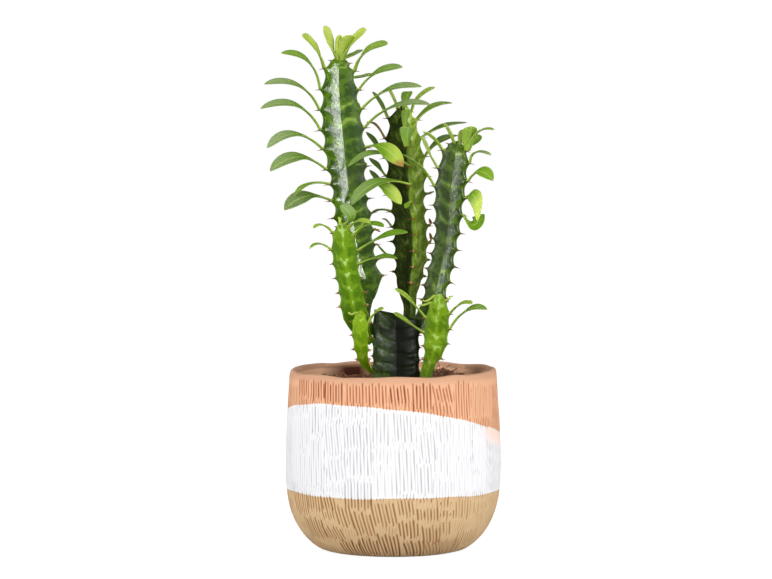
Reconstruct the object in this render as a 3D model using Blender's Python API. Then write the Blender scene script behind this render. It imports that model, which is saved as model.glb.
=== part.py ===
"""African milk tree, a three-ribbed succulent, in a hand-formed earthenware pot.

The scene is in metres. The origin is the centre of the pot's flat base, +Z points up, and the front of the
plant faces -Y. The pot's and the soil's tables are millimetres. The plant's tables give places as they are
seen from the front, in steps of 0.7 mm to the right and down, and depths in millimetres along +Y.
"""
import math
from collections import namedtuple

import bmesh
import bpy
import numpy as np
from mathutils import Vector

MM = 0.001
GAP = 0.3
COLUMNS = 36

RIM_HEIGHT = 127.0
POT_OUTSIDE = [(46.0, 0.0), (51.4, 1.4), (57.4, 5.2), (63.2, 11.0), (68.2, 18.6), (72.2, 28.0), (74.8, 41.0),
               (75.7, 60.0), (75.2, 82.0), (73.9, 106.0), (72.9, 122.5)]
POT_LIP = [(71.9, 126.2), (69.6, 127.0), (67.9, 125.2)]
POT_INSIDE = [(67.4, 116.0), (69.8, 78.0), (69.2, 48.0), (64.0, 26.0), (54.0, 12.0), (40.0, 7.5)]
LIP_BAND = 34.0
LIP_WAVES = [(1, 0.42, 40.0), (2, 0.34, 115.0), (3, 0.30, 20.0), (5, 0.16, 70.0)]
WALL_WAVES = [(2, 0.45, 25.0), (3, 0.30, 80.0), (4, 0.18, 10.0)]

SOIL_LEVEL = 117.5
SOIL_MOUND = (8.5, 30.0, 20.0, 27.0)
SOIL_RINGS = [0.78, 0.52, 0.26]
SOIL_BUMP = 0.7
SOIL_SHOULDER = 8.0
SOIL_EDGE_DROP = 1.0

RIB_WALL = 1.7
VALLEY_SHARE = 0.36
TOOTH_ROWS = [0.0, 0.3, 0.8]
BAY_CENTRE = 0.45
FOOT_STEP = 9.0
CREST_DIP = 5.0
THORN_SPREAD = 38.0
THORN_BASE = (0.6, 0.45)
THORN_ROOT = 1.3
LEAF_STATIONS = [0.0, 0.3, 0.55, 0.8, 1.0]
SHORT_LEAF_STATIONS = [0.0, 0.35, 0.72, 1.0]
SHORT_LEAF = 32.0
LEAF_THICKNESS = 0.9
PETIOLE_THICKNESS = 1.3
LEAF_FOLD = 0.16
LEAF_FOOT = 0.17
LEAF_ROOT = 2.4
LEAF_SEAT = 0.7
LEAF_SINK = 0.5
BACKWARD_SWING = 100.0
BACKWARD_SINK = 2.8
APEX_SEAT = 0.45
LEAF_TIP = 1.1

Stem = namedtuple("Stem", "name margins ribs stagger crown young upper_pitch upper_teeth lower_pitch teeth "
                          "depth crests thorn")
Leaf = namedtuple("Leaf", "rib tooth swing middle tip width roll")

VIEW_STEP = 0.7
VIEW_AXIS = 393.0
VIEW_GROUND = 550.0
VIEW_POINT = (-4.9, -2765.0, 349.0)
RIB_EDGE = 0.5

LEFT, RIGHT, BACK = 0, 1, 2
STAGGER, CREST = 2, 3
APEX = -1

TRUNK = Stem(
    name="trunk",
    margins=[(376, 415, 313, 0), (372, 419, 322, 0), (371, 420.5, 335, 0), (371, 421, 357, 0),
             (371, 420.5, 390, 0),
             (376, 415, 430, 0), (384, 406, 456, 0)],
    ribs=(210.0, 330.0, 90.0), stagger=(0.0, 0.35, 0.6), crown=3.5, young=8.5, upper_pitch=8.5,
    upper_teeth=3, lower_pitch=8.5, teeth=5, depth=1.6, crests=(8.0, 3.5, 1.0), thorn=1.6)

COLUMN_LEFT = Stem(
    name="column_left",
    margins=[(336, 344, 56.5, 4), (330, 350, 60, 4), (324, 354.5, 66, 4), (320.5, 358, 76, 4),
             (318.5, 361.5, 95, 4), (318, 365, 115, 4), (320, 367.5, 137, 4), (322.5, 369, 158, 4),
             (327, 369.5, 178, 4), (329.5, 371, 200, 4), (332.5, 375.5, 222, 4), (337, 377.5, 243, 4),
             (343.5, 381, 265, 4), (350, 384, 280, 4), (353.5, 379, 289, 4), (355, 374.5, 297, 4),
             (357, 372, 306, 4), (359, 371, 318, 4), (366, 376, 328, 4), (375, 384, 335, 4.5),
             (384, 393, 341, 4.5)],
    ribs=(210.0, 330.0, 90.0), stagger=(0.0, 0.12, 0.5), crown=2.6, young=5.8, upper_pitch=13.7,
    upper_teeth=6, lower_pitch=11.2, teeth=14, depth=3.9, crests=(0.0, 0.0, 0.0), thorn=3.0)

COLUMN_MIDDLE = Stem(
    name="column_middle",
    margins=[(401, 408, 104.5, 10), (396, 412, 108.5, 10), (388, 417, 115, 10), (384.5, 420.5, 125, 10),
             (383, 423.5, 140, 10), (383, 427, 158, 10), (384, 428.5, 177, 10), (386, 428, 196, 10),
             (389, 428.5, 212, 10), (390, 430.5, 230, 10), (390, 431, 247, 10), (391, 429, 263, 10),
             (393.5, 424, 280, 10), (398.5, 418, 292, 10), (402.5, 417, 303, 9), (402.5, 416, 316, 8),
             (400, 412, 328, 6.5), (397, 408, 337, 5)],
    ribs=(155.0, 35.0, 275.0), stagger=(0.0, 0.12, 0.5), crown=2.8, young=6.6, upper_pitch=13.3,
    upper_teeth=5, lower_pitch=11.2, teeth=11, depth=3.7, crests=(0.0, 0.0, 0.0), thorn=3.0)

COLUMN_RIGHT = Stem(
    name="column_right",
    margins=[(454, 462, 141.5, 1), (448, 466, 144, 1), (442, 469.5, 149, 1), (438, 471, 158, 1),
             (435, 470, 172, 1), (432, 468.5, 188, 1), (431.5, 466, 204, 1), (432, 464, 220, 1),
             (431.5, 461.5, 236, 1), (429.5, 458.5, 252, 1), (426, 456, 266, 1), (422.5, 452, 281, 1),
             (420.5, 448, 295, 1), (418.5, 442, 307, 1), (414, 433, 319, 0), (407, 423, 328, -1),
             (401, 413, 336, -1)],
    ribs=(210.0, 330.0, 90.0), stagger=(0.0, 0.5, 0.25), crown=2.6, young=4.6, upper_pitch=12.6,
    upper_teeth=5, lower_pitch=11.3, teeth=11, depth=3.1, crests=(0.0, 0.0, 0.0), thorn=2.8)

SHOOT_LEFT_UPPER = Stem(
    name="shoot_left_upper",
    margins=[(338, 345, 222, -22), (334, 350, 225.5, -22), (331, 354, 231, -22), (329.5, 357.5, 240, -22),
             (329.5, 360, 250, -22), (331.5, 361, 264, -22), (334.5, 362.5, 278, -22), (337, 365.5, 291, -21),
             (339, 368.5, 305, -19), (344, 370, 316, -17), (350, 371, 325, -15), (357.5, 372, 333, -12),
             (367.5, 377.5, 341, -8)],
    ribs=(212.0, 332.0, 90.0), stagger=(0.0, 0.28, 0.5), crown=2.0, young=4.4, upper_pitch=11.4,
    upper_teeth=2, lower_pitch=9.6, teeth=7, depth=2.3, crests=(0.0, 0.0, 0.0), thorn=2.0)

SHOOT_LEFT_LOWER = Stem(
    name="shoot_left_lower",
    margins=[(358, 363, 310.5, -31), (354, 366.5, 313, -31), (351, 369.5, 319, -31), (350, 370.5, 328, -31),
             (351, 370.5, 340, -30), (353.5, 370.5, 351, -27), (358, 370.5, 360, -22), (364, 371.5, 367, -16),
             (370, 376, 372, -10)],
    ribs=(210.0, 330.0, 90.0), stagger=(0.0, 0.2, 0.5), crown=1.8, young=5.0, upper_pitch=9.2,
    upper_teeth=3, lower_pitch=8.4, teeth=5, depth=1.8, crests=(0.0, 0.0, 0.0), thorn=1.8)

SHOOT_RIGHT_LOWER = Stem(
    name="shoot_right_lower",
    margins=[(437, 443, 294, -20), (432, 446.5, 297, -20), (427.5, 450, 304, -20), (424.5, 451.5, 313, -20),
             (422.5, 451.5, 324, -20), (421.5, 450.5, 335, -20), (421.5, 448, 346, -20),
             (421.5, 442.5, 356, -19),
             (420.5, 437, 366, -18), (419.5, 433, 377, -18), (419, 430, 392, -18), (419, 430, 408, -18)],
    ribs=(210.0, 330.0, 90.0), stagger=(0.0, 0.6, 0.3), crown=2.0, young=4.4, upper_pitch=10.6,
    upper_teeth=3, lower_pitch=9.4, teeth=6, depth=2.1, crests=(0.0, 0.0, 0.0), thorn=2.0)

BARE_TEETH = {"trunk": [(LEFT, 1), (LEFT, 2), (LEFT, 4), (RIGHT, 4), (BACK, 4)]}

LEAVES = {
    "column_left": [
        Leaf(LEFT, APEX, 0, (330.2, 43), (324.5, 25), 7.5, 60),
        Leaf(LEFT, APEX, 80, (338.2, 47), (339.8, 34), 5, 0),
        Leaf(RIGHT, APEX, -30, (345, 47), (350, 34.5), 9, 0),
        Leaf(RIGHT, APEX, 0, (352.5, 42), (366.5, 29), 8, 25),
        Leaf(BACK, APEX, -50, (354, 54), (361.5, 49), 8, 0),
        Leaf(LEFT, 1, 0, (315.8, 48), (302, 34.5), 8, 30), Leaf(LEFT, 2, 0, (308, 61), (281, 52.5), 9, 14),
        Leaf(LEFT, 3, 0, (298, 85), (264, 83.5), 9, 14),
        Leaf(LEFT, 4, 0, (295.5, 104.7), (260.5, 108), 9.5, 12),
        Leaf(LEFT, 5, 0, (294.5, 133.8), (267, 147.5), 10.5, 14),
        Leaf(LEFT, 6, 0, (297.5, 156.6), (270, 170.5), 11, 20),
        Leaf(LEFT, 7, 0, (309.5, 183.3), (294.3, 195), 7, 8),
        Leaf(LEFT, 8, 0, (306, 196), (284.3, 209.5), 12.5, 40),
        Leaf(RIGHT, 1, 0, (366.3, 51), (388, 43.3), 8, 16),
        Leaf(RIGHT, 2, 0, (377, 72), (402.8, 66.5), 9, 12),
        Leaf(RIGHT, 3, 0, (389, 89), (421.8, 86), 9, 10),
        Leaf(RIGHT, 4, -5, (394, 105.8), (430.7, 104), 9, 8),
        Leaf(RIGHT, 5, -12, (385, 148), (403.5, 166), 12, 55),
        Leaf(RIGHT, 6, -125, (365, 162.5), (355, 164), 5, 20),
        Leaf(RIGHT, 7, 28, (385, 187), (401.5, 203.5), 11, 58),
        Leaf(RIGHT, 10, 0, (377, 229.5), (380.3, 231), 3, 0),
        Leaf(BACK, 1, -50, (361, 76.3), (371, 72.5), 8, 0), Leaf(BACK, 2, 30, (337.5, 84), (330, 88), 9, 0),
        Leaf(BACK, 3, -30, (350, 104), (358, 109), 9.5, 0), Leaf(BACK, 4, 25, (336, 123), (328, 131), 10, 0),
        Leaf(BACK, 5, -30, (352, 146), (359, 153), 10, 0), Leaf(BACK, 6, 30, (340, 167), (332.5, 176), 10, 0),
        Leaf(BACK, 7, -25, (351, 186), (357, 194), 9.5, 0), Leaf(BACK, 8, 30, (345, 205), (339.5, 214), 9, 0),
    ],
    "column_middle": [
        Leaf(LEFT, 0, 0, (392.3, 95.5), (387, 86.5), 5.5, 0),
        Leaf(BACK, APEX, 25, (406, 98.5), (408.3, 90.5), 9, 0),
        Leaf(RIGHT, 0, -20, (419.5, 96), (435, 86.5), 6.5, 16),
        Leaf(LEFT, 1, 0, (380.5, 103), (372.5, 91), 7, 0),
        Leaf(LEFT, 2, 0, (376, 124.5), (366.5, 121.5), 5, 0),
        Leaf(LEFT, 3, 0, (376, 143.5), (366, 131), 6.5, 15),
        Leaf(LEFT, 4, 0, (378, 166), (369, 157), 6.5, 15),
        Leaf(LEFT, 5, 0, (378.5, 181), (369.5, 169), 6.5, 15),
        Leaf(LEFT, 6, 0, (380.5, 209), (371, 213), 7, 0),
        Leaf(LEFT, 7, 0, (386.5, 219.5), (382, 218), 3, 0),
        Leaf(LEFT, 9, 0, (384.5, 252), (377, 243), 3.5, 0),
        Leaf(RIGHT, 1, 0, (432, 106.5), (452, 102), 8, 10),
        Leaf(RIGHT, 2, 0, (442, 126), (467, 121.7), 8, 10),
        Leaf(RIGHT, 3, 0, (438.5, 141.3), (458, 134.5), 9, 14),
        Leaf(RIGHT, 5, 0, (430.5, 192), (434, 190.5), 3.5, 0),
        Leaf(BACK, 1, 25, (405.3, 118), (407, 109), 7, 0),
        Leaf(BACK, 2, 25, (407, 134.5), (408.5, 126), 12, 0),
        Leaf(BACK, 3, -88, (377, 152.3), (347.5, 166), 9, 22),
        Leaf(BACK, 4, -85, (377, 182.3), (351, 204.5), 12, 36),
        Leaf(BACK, 5, -60, (408, 203.3), (405, 207.5), 4.5, 30),
    ],
    "column_right": [
        Leaf(LEFT, APEX, 20, (449, 131), (443.5, 122.5), 5, 15),
        Leaf(RIGHT, APEX, -35, (461, 135), (464.5, 128.5), 5, 0),
        Leaf(RIGHT, 0, -40, (469, 138), (471.5, 125.5), 11, 0),
        Leaf(RIGHT, 0, 0, (478, 131.5), (494, 129), 6, 10),
        Leaf(BACK, 1, -60, (472, 142), (477.5, 133.5), 10, 30),
        Leaf(LEFT, 1, 0, (433.5, 138), (423, 131), 6, 0), Leaf(LEFT, 2, 0, (428, 150), (421, 135.5), 8, 45),
        Leaf(LEFT, 3, 0, (421.5, 167.5), (403, 153.5), 8, 15),
        Leaf(RIGHT, 1, 0, (476, 151.5), (491, 154.3), 5.5, 10),
        Leaf(RIGHT, 2, 0, (480, 171), (493, 180), 10.5, 40),
        Leaf(RIGHT, 3, 0, (475, 197), (477.5, 220.5), 11, 60),
        Leaf(RIGHT, 4, 20, (473, 224.5), (484.5, 213), 9, 45),
        Leaf(BACK, 2, 30, (446, 168), (439.5, 166), 8.5, 0), Leaf(BACK, 3, -20, (453, 186), (458, 185), 9, 0),
        Leaf(BACK, 4, 30, (444.5, 205), (438.5, 206), 8.5, 0),
    ],
    "shoot_left_upper": [
        Leaf(LEFT, APEX, 20, (339.5, 219.5), (339, 216.3), 3, 0),
        Leaf(RIGHT, 0, 0, (359.5, 220), (370.5, 222.5), 6, 22),
        Leaf(RIGHT, APEX, -152, (350, 215), (340, 204.5), 10.5, 45),
        Leaf(LEFT, 1, 0, (322.5, 224.3), (313.5, 227.5), 5, 10),
        Leaf(LEFT, 2, 0, (319.5, 243), (309.5, 248), 5, 8),
        Leaf(RIGHT, 1, 5, (368, 224), (384, 226), 7.5, 20),
        Leaf(RIGHT, 2, 5, (382.5, 236.3), (408, 231.5), 10, 26),
        Leaf(RIGHT, 3, 5, (378.5, 256.7), (397.5, 257.7), 8, 20),
        Leaf(BACK, 1, 50, (341, 231), (338, 231), 4, 0),
    ],
    "shoot_left_lower": [
        Leaf(LEFT, 0, 0, (350.8, 314), (348.5, 311.5), 3, 0),
        Leaf(RIGHT, 1, 0, (375, 312.5), (383.5, 308.3), 6, 25),
    ],
    "shoot_right_lower": [
        Leaf(LEFT, 2, 0, (411, 301), (394.5, 288), 9, 35),
        Leaf(LEFT, 3, 0, (407.5, 321.5), (393.5, 312.3), 8.5, 32),
        Leaf(LEFT, 1, 0, (423.5, 304.5), (418.5, 305), 4, 0),
        Leaf(LEFT, 0, 0, (427, 300.3), (422.7, 299.5), 3, 0),
        Leaf(RIGHT, 0, 0, (450, 296.5), (453.3, 296), 3, 0),
        Leaf(RIGHT, 2, 0, (467, 310.3), (487.5, 309), 9.5, 22),
        Leaf(RIGHT, 1, 0, (461, 303.5), (472.5, 303), 6.5, 20),
        Leaf(BACK, 1, -40, (442, 302.5), (446, 302), 6, 0),
    ],
}


def clear_scene():
    for thing in list(bpy.data.objects):
        bpy.data.objects.remove(thing, do_unlink=True)


def make_material(name, colour, roughness):
    material = bpy.data.materials.new(name)
    material.use_nodes = True
    shader = material.node_tree.nodes["Principled BSDF"]
    shader.inputs["Base Color"].default_value = (*colour, 1.0)
    shader.inputs["Roughness"].default_value = roughness
    shader.inputs["Metallic"].default_value = 0.0
    return material


def make_object(name, points, faces, material=None):
    """A mesh object from points in millimetres, shaded smooth, with its faces turned outwards."""
    mesh = bpy.data.meshes.new(name)
    mesh.from_pydata([tuple(coordinate * MM for coordinate in point) for point in points], [], faces)
    shape = bmesh.new()
    shape.from_mesh(mesh)
    bmesh.ops.recalc_face_normals(shape, faces=shape.faces)
    shape.to_mesh(mesh)
    shape.free()
    mesh.shade_smooth()
    thing = bpy.data.objects.new(name, mesh)
    bpy.context.scene.collection.objects.link(thing)
    if material:
        mesh.materials.append(material)
    return thing


def skin_rings(rings):
    """Faces between closed rings of equal count, with a fan of triangles over the first and last ring.

    The last two points are the centres of the two fans.
    """
    count = len(rings[0])
    points = [point for ring in rings for point in ring]
    faces = []
    for row in range(len(rings) - 1):
        for column in range(count):
            after = (column + 1) % count
            faces.append((row * count + column, row * count + after,
                          (row + 1) * count + after, (row + 1) * count + column))
    last = (len(rings) - 1) * count
    first_centre = len(points)
    for column in range(count):
        after = (column + 1) % count
        faces.append((first_centre, after, column))
        faces.append((first_centre + 1, last + column, last + after))
    return points, faces


def wave(angle, terms):
    """A sum of sine waves round the pot: each term is waves per turn, height and phase in degrees."""
    return sum(height * math.sin(count * angle + math.radians(phase)) for count, height, phase in terms)


def pot_point(radius, height, angle):
    """A point of the pot's wall, with the slow unevenness of a wall formed by hand."""
    share = max(0.0, (height - RIM_HEIGHT + LIP_BAND) / LIP_BAND)
    lift = share * share * wave(angle, LIP_WAVES)
    swell = math.sin(math.pi * min(1.0, height / RIM_HEIGHT)) * 0.6 + 0.4 * share
    out = radius + swell * wave(angle, WALL_WAVES)
    return out * math.cos(angle), out * math.sin(angle), height + lift


def build_pot():
    angles = [2.0 * math.pi * column / COLUMNS for column in range(COLUMNS)]
    profile = POT_OUTSIDE + POT_LIP + POT_INSIDE
    rings = [[pot_point(radius, height, angle) for angle in angles] for radius, height in profile]
    points, faces = skin_rings(rings)
    points += [(0.0, 0.0, POT_OUTSIDE[0][1]), (0.0, 0.0, POT_INSIDE[-1][1])]
    return make_object("pot", points, faces, make_material("earthenware", (0.86, 0.70, 0.60), 0.85))


def soil_height(x, y):
    """Height of the soil at a place: level at the wall, a low mound at the stems, and small lumps."""
    height, mound_x, mound_y, spread = SOIL_MOUND
    distance = math.hypot(x - mound_x, y - mound_y)
    lumps = math.sin(0.37 * x + 1.3) * math.sin(0.31 * y + 0.4) + 0.6 * math.sin(0.63 * x - 0.58 * y)
    return SOIL_LEVEL + height * math.exp(-(distance / spread) ** 2) + SOIL_BUMP * lumps


def build_soil():
    """The soil fills the pot up to its level, a gap clear of the wall."""
    angles = [2.0 * math.pi * column / COLUMNS for column in range(COLUMNS)]
    sunk = [(radius - GAP, height + GAP) for radius, height in reversed(POT_INSIDE)
            if height < SOIL_LEVEL - SOIL_SHOULDER]
    rings = [[pot_point(radius, height, angle) for angle in angles] for radius, height in sunk]
    top_radius = POT_INSIDE[0][0] - GAP - 0.1
    edge = []
    for angle in angles:
        x, y, _ = pot_point(top_radius, SOIL_LEVEL - SOIL_EDGE_DROP, angle)
        edge.append((x, y, soil_height(x, y) - SOIL_EDGE_DROP))
    rings.append(edge)
    for share in SOIL_RINGS:
        rings.append([(x * share, y * share, soil_height(x * share, y * share)) for x, y, _ in edge])
    points, faces = skin_rings(rings)
    points += [(0.0, 0.0, sunk[0][1]), (0.0, 0.0, soil_height(0.0, 0.0))]
    return make_object("soil", points, faces, make_material("potting_soil", (0.16, 0.09, 0.05), 1.0))


def seen_place(column, row, depth):
    """The place in millimetres, at a depth, that a front view from VIEW_POINT shows at a column and row."""
    x, y, z = VIEW_POINT
    scale = (depth - y) / -y
    right = (column - VIEW_AXIS) * VIEW_STEP
    up = (VIEW_GROUND - row) * VIEW_STEP
    return x + (right - x) * scale, z + (up - z) * scale


def seen_reach(start, ahead, place):
    """How far ahead and up of a start a seen place lies, in the upright plane through the start."""
    x, y, z = VIEW_POINT
    slope = ((place[0] - VIEW_AXIS) * VIEW_STEP - x) / -y
    out = (slope * (start.y - y) - start.x + x) / (ahead.x - slope * ahead.y)
    return out, seen_place(*place, start.y + ahead.y * out)[1] - start.z


class Course:
    """A smooth line from a stem's foot to its tip, which also carries the reach of its ribs."""

    def __init__(self, stem):
        spread = [math.cos(math.radians(stem.ribs[rib])) for rib in (LEFT, RIGHT)]
        rows = []
        for left, right, row, depth in reversed(stem.margins):
            left, height = seen_place(left, row, depth)
            right, height = seen_place(right, row, depth)
            reach = (right - left - 2.0 * RIB_EDGE) / (spread[1] - spread[0])
            rows.append((left + RIB_EDGE - reach * spread[0], depth, height, reach))
        self.rows = np.array(rows, float)
        steps = np.linalg.norm(np.diff(self.rows[:, :3], axis=0), axis=1)
        self.arcs = np.concatenate(([0.0], np.cumsum(steps)))
        self.slopes = np.gradient(self.rows, self.arcs, axis=0)
        self.length = float(self.arcs[-1])

    def at(self, arc):
        """Centre, frame and rib reach at a length along the stem, counted from its foot."""
        arc = min(max(arc, 0.0), self.length)
        index = min(int(np.searchsorted(self.arcs, arc, side="right")) - 1, len(self.arcs) - 2)
        span = self.arcs[index + 1] - self.arcs[index]
        part = (arc - self.arcs[index]) / span
        low, high = self.rows[index], self.rows[index + 1]
        low_slope, high_slope = self.slopes[index] * span, self.slopes[index + 1] * span
        value = (low * (2 * part ** 3 - 3 * part ** 2 + 1) + low_slope * (part ** 3 - 2 * part ** 2 + part)
                 + high * (3 * part ** 2 - 2 * part ** 3) + high_slope * (part ** 3 - part ** 2))
        slope = (low * (6 * part ** 2 - 6 * part) + low_slope * (3 * part ** 2 - 4 * part + 1)
                 + high * (6 * part - 6 * part ** 2) + high_slope * (3 * part ** 2 - 2 * part))
        along = Vector(slope[:3]).normalized()
        return Vector(value[:3]), along, *stem_axes(along), max(float(value[3]), 1.0)


def stem_axes(along):
    """The two directions across a stem: to the right, and to the back."""
    right = (Vector((1.0, 0.0, 0.0)) - along * along.x).normalized()
    return right, along.cross(right)


def tooth_drop(stem, tooth):
    """Distance from the stem's tip down to a tooth, or to a place between two teeth."""
    drops = [stem.crown, stem.crown + stem.young]
    while len(drops) < stem.teeth + 2:
        drops.append(drops[-1] + (stem.upper_pitch if len(drops) <= stem.upper_teeth else stem.lower_pitch))
    return float(np.interp(tooth, range(len(drops)), drops))


def bay(part):
    """Depth of the bay between two teeth as a share: it falls from the upper tooth and ends at a shelf."""
    if part < BAY_CENTRE:
        return math.sin(0.5 * math.pi * part / BAY_CENTRE) ** 0.8
    return math.cos(0.5 * math.pi * (part - BAY_CENTRE) / (1.0 - BAY_CENTRE)) ** 0.6


def bay_at(stem, tooth):
    """The bay's depth at a tooth number, fading out on the bare foot below the lowest tooth."""
    last = stem.teeth - 1
    if tooth <= 0.0:
        return 0.0
    if tooth <= last:
        return bay(tooth % 1.0)
    return bay(min(tooth - last, BAY_CENTRE)) * max(0.0, 1.0 - (tooth - last))


def rib_direction(azimuth, right, back):
    return right * math.cos(azimuth) + back * math.sin(azimuth)


def stem_columns(stem):
    """The stem's columns in order round it: azimuth, side of the rib, stagger and crest of each."""
    order = sorted(range(3), key=lambda rib: stem.ribs[rib] % 360.0)
    columns = []
    for place, rib in enumerate(order):
        after = order[(place + 1) % 3]
        azimuth = stem.ribs[rib] % 360.0
        turn = (stem.ribs[after] - stem.ribs[rib]) % 360.0
        for side in (-1, 1):
            columns.append((math.radians(azimuth), side, stem.stagger[rib], stem.crests[rib]))
        low = 0.5 * (stem.crests[rib] + stem.crests[after]) - CREST_DIP * any(stem.crests)
        columns.append((math.radians(azimuth + 0.5 * turn), 0,
                        0.5 * (stem.stagger[rib] + stem.stagger[after]), low))
    return columns


def stem_point(stem, course, column, arc, tooth, grow):
    azimuth, side, _, _ = column
    centre, along, right, back, reach = course.at(arc)
    outward = rib_direction(azimuth, right, back)
    cut = bay_at(stem, tooth)
    if side == 0:
        return centre + outward * (VALLEY_SHARE * reach + grow)
    tip = reach - min(stem.depth, 0.3 * reach) * cut + grow
    edge = (RIB_WALL * (0.55 + 0.45 * cut)) * min(1.0, reach / 9.0) + grow
    return centre + outward * tip + along.cross(outward) * (side * edge)


def stem_rings(stem, grow=0.0):
    """Rings of the stem's body from its tip to its foot, each column with its own stagger of teeth."""
    course = Course(stem)
    columns = stem_columns(stem)
    teeth = [tooth + part for tooth in range(stem.teeth - 1) for part in TOOTH_ROWS]
    teeth += [stem.teeth - 1, stem.teeth - 0.8, stem.teeth - 1 + BAY_CENTRE]
    top_rows = [0.45 * stem.crown] if not any(stem.crests) else [0.0]
    rings = []
    for drop in top_rows:
        rings.append([stem_point(stem, course, column, course.length - drop, 0.0, grow)
                      + course.at(course.length)[1] * (column[CREST] + grow) for column in columns])
    for tooth in teeth:
        ring = []
        for column in columns:
            drop = tooth_drop(stem, tooth + column[STAGGER])
            lift = column[CREST] * max(0.0, 1.0 - drop / (3.0 * stem.lower_pitch))
            point = stem_point(stem, course, column, course.length - drop, tooth, grow)
            ring.append(point + course.at(course.length)[1] * lift)
        rings.append(ring)
    ends = [course.length - tooth_drop(stem, teeth[-1] + column[STAGGER]) for column in columns]
    steps = max(2, round(min(ends) / FOOT_STEP))
    for step in range(1, steps + 1):
        keep = 1.0 - step / steps
        tooth = stem.teeth - 1 + BAY_CENTRE + step
        rings.append([stem_point(stem, course, column, end * keep, tooth, grow)
                      for column, end in zip(columns, ends)])
    tip = course.at(course.length)
    foot = course.at(0.0)
    ends = [tip[0] + tip[1] * grow, foot[0] - foot[1] * grow]
    return rings, ends


def build_body(stem, material=None, grow=0.0, name=None):
    rings, ends = stem_rings(stem, grow)
    points, faces = skin_rings(rings)
    return make_object(name or stem.name, points + ends, faces, material)


def tooth_seat(stem, rib, tooth):
    """Place of a tooth's tip, its outward direction and the stem's direction there."""
    course = Course(stem)
    drop = 0.8 * stem.crown if tooth == APEX else tooth_drop(stem, tooth + stem.stagger[rib])
    centre, along, right, back, reach = course.at(course.length - drop)
    outward = rib_direction(math.radians(stem.ribs[rib]), right, back)
    return centre + outward * (reach * (APEX_SEAT if tooth == APEX else 1.0)), outward, along


def build_thorns(stem, rib, tooth):
    """The pair of thorns on a tooth: two sharp points that spread from one shield sunk in the rib."""
    seat, outward, along = tooth_seat(stem, rib, tooth)
    across = along.cross(outward)
    root = seat - outward * THORN_ROOT
    wide, high = THORN_BASE
    base = [root + across * (wide * x) + along * (high * y) for x, y in ((1, 1), (1, -1), (-1, -1), (-1, 1))]
    spread = math.radians(THORN_SPREAD)
    tips = [seat + (outward * math.cos(spread) + across * (side * math.sin(spread))) * stem.thorn
            for side in (1, -1)]
    points = base + [seat + outward * 0.3] + tips
    faces = [(0, 3, 2, 1), (0, 1, 5), (1, 4, 5), (4, 0, 5), (2, 3, 6), (3, 4, 6), (4, 2, 6), (3, 0, 4),
             (1, 2, 4)]
    return make_object("thorns", points, faces)


def blade_width(part):
    """Half width of a leaf as a share of its widest: a narrow foot, a broad upper half, a round tip."""
    if part <= 0.0:
        return LEAF_FOOT
    return max(LEAF_FOOT, math.sin(math.pi * min(part, 1.0) ** 1.55) ** 0.85)


def build_leaf(stem, leaf):
    """A thin folded blade on a bent midrib, made of alike triangles on both of its faces."""
    seat, outward, along = tooth_seat(stem, leaf.rib, leaf.tooth)
    azimuth = math.radians(stem.ribs[leaf.rib] + leaf.swing)
    ahead = Vector((math.cos(azimuth), math.sin(azimuth), 0.0))
    up = Vector((0.0, 0.0, 1.0))
    flat = up.cross(ahead)
    upright = leaf.tooth == APEX or abs(leaf.swing) > BACKWARD_SWING
    sunk = BACKWARD_SINK if upright and leaf.tooth != APEX else LEAF_SINK
    start = seat - outward * sunk + along * LEAF_SEAT
    out, climb = seen_reach(start, ahead, leaf.tip)
    end = ahead * out + up * climb
    out, climb = seen_reach(start, ahead, leaf.middle)
    bend = (ahead * out + up * climb) * 2.0 - end * 0.5
    turn_sign = 1.0 if flat.y >= 0.0 else -1.0
    inward, root_flat = along, flat
    if not upright:
        inward = rib_direction(math.radians(stem.ribs[leaf.rib] + leaf.swing / 3.0), *stem_axes(along))
        root_flat = along.cross(inward)
    rings = []
    for part in [None] + (LEAF_STATIONS if end.length > SHORT_LEAF else SHORT_LEAF_STATIONS):
        if part is None:
            place, heading, across = start - inward * LEAF_ROOT, inward, root_flat
            width, turn = LEAF_FOOT, 0.0
        else:
            place = start + bend * (2.0 * part * (1.0 - part)) + end * (part * part)
            heading = (bend * (1.0 - 2.0 * part) + end * part).normalized()
            width = LEAF_TIP / leaf.width if part == 1.0 else blade_width(part)
            turn = math.radians(leaf.roll) * turn_sign * min(1.0, part / 0.55)
            across = flat if part > 0.0 else (flat + root_flat).normalized()
        normal = heading.cross(across).normalized()
        side = across * math.cos(turn) + normal * math.sin(turn)
        normal = normal * math.cos(turn) - across * math.sin(turn)
        half = 0.5 * leaf.width * width
        thick = 0.5 * (PETIOLE_THICKNESS if part is None or part == 0.0 else LEAF_THICKNESS)
        half = max(half, 0.9 * thick)
        lift = normal * (LEAF_FOLD * half)
        one, two = place + side * half + lift, place - side * half + lift
        rings.append([one + normal * thick, place + normal * thick, two + normal * thick,
                      two - normal * thick, place - normal * thick, one - normal * thick])
    points = [point for ring in rings for point in ring]
    faces = []
    for row in range(len(rings) - 1):
        low, high = 6 * row, 6 * (row + 1)
        for one, two in ((0, 1), (2, 1), (5, 4), (3, 4)):
            faces.append((low + one, low + two, high + two))
            faces.append((low + one, high + two, high + one))
        for one, two in ((2, 3), (5, 0)):
            faces.append((low + one, low + two, high + two, high + one))
    for base in (0, 6 * (len(rings) - 1)):
        faces.append((base, base + 1, base + 4, base + 5))
        faces.append((base + 1, base + 2, base + 3, base + 4))
    return make_object("leaf", points, faces)


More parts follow.
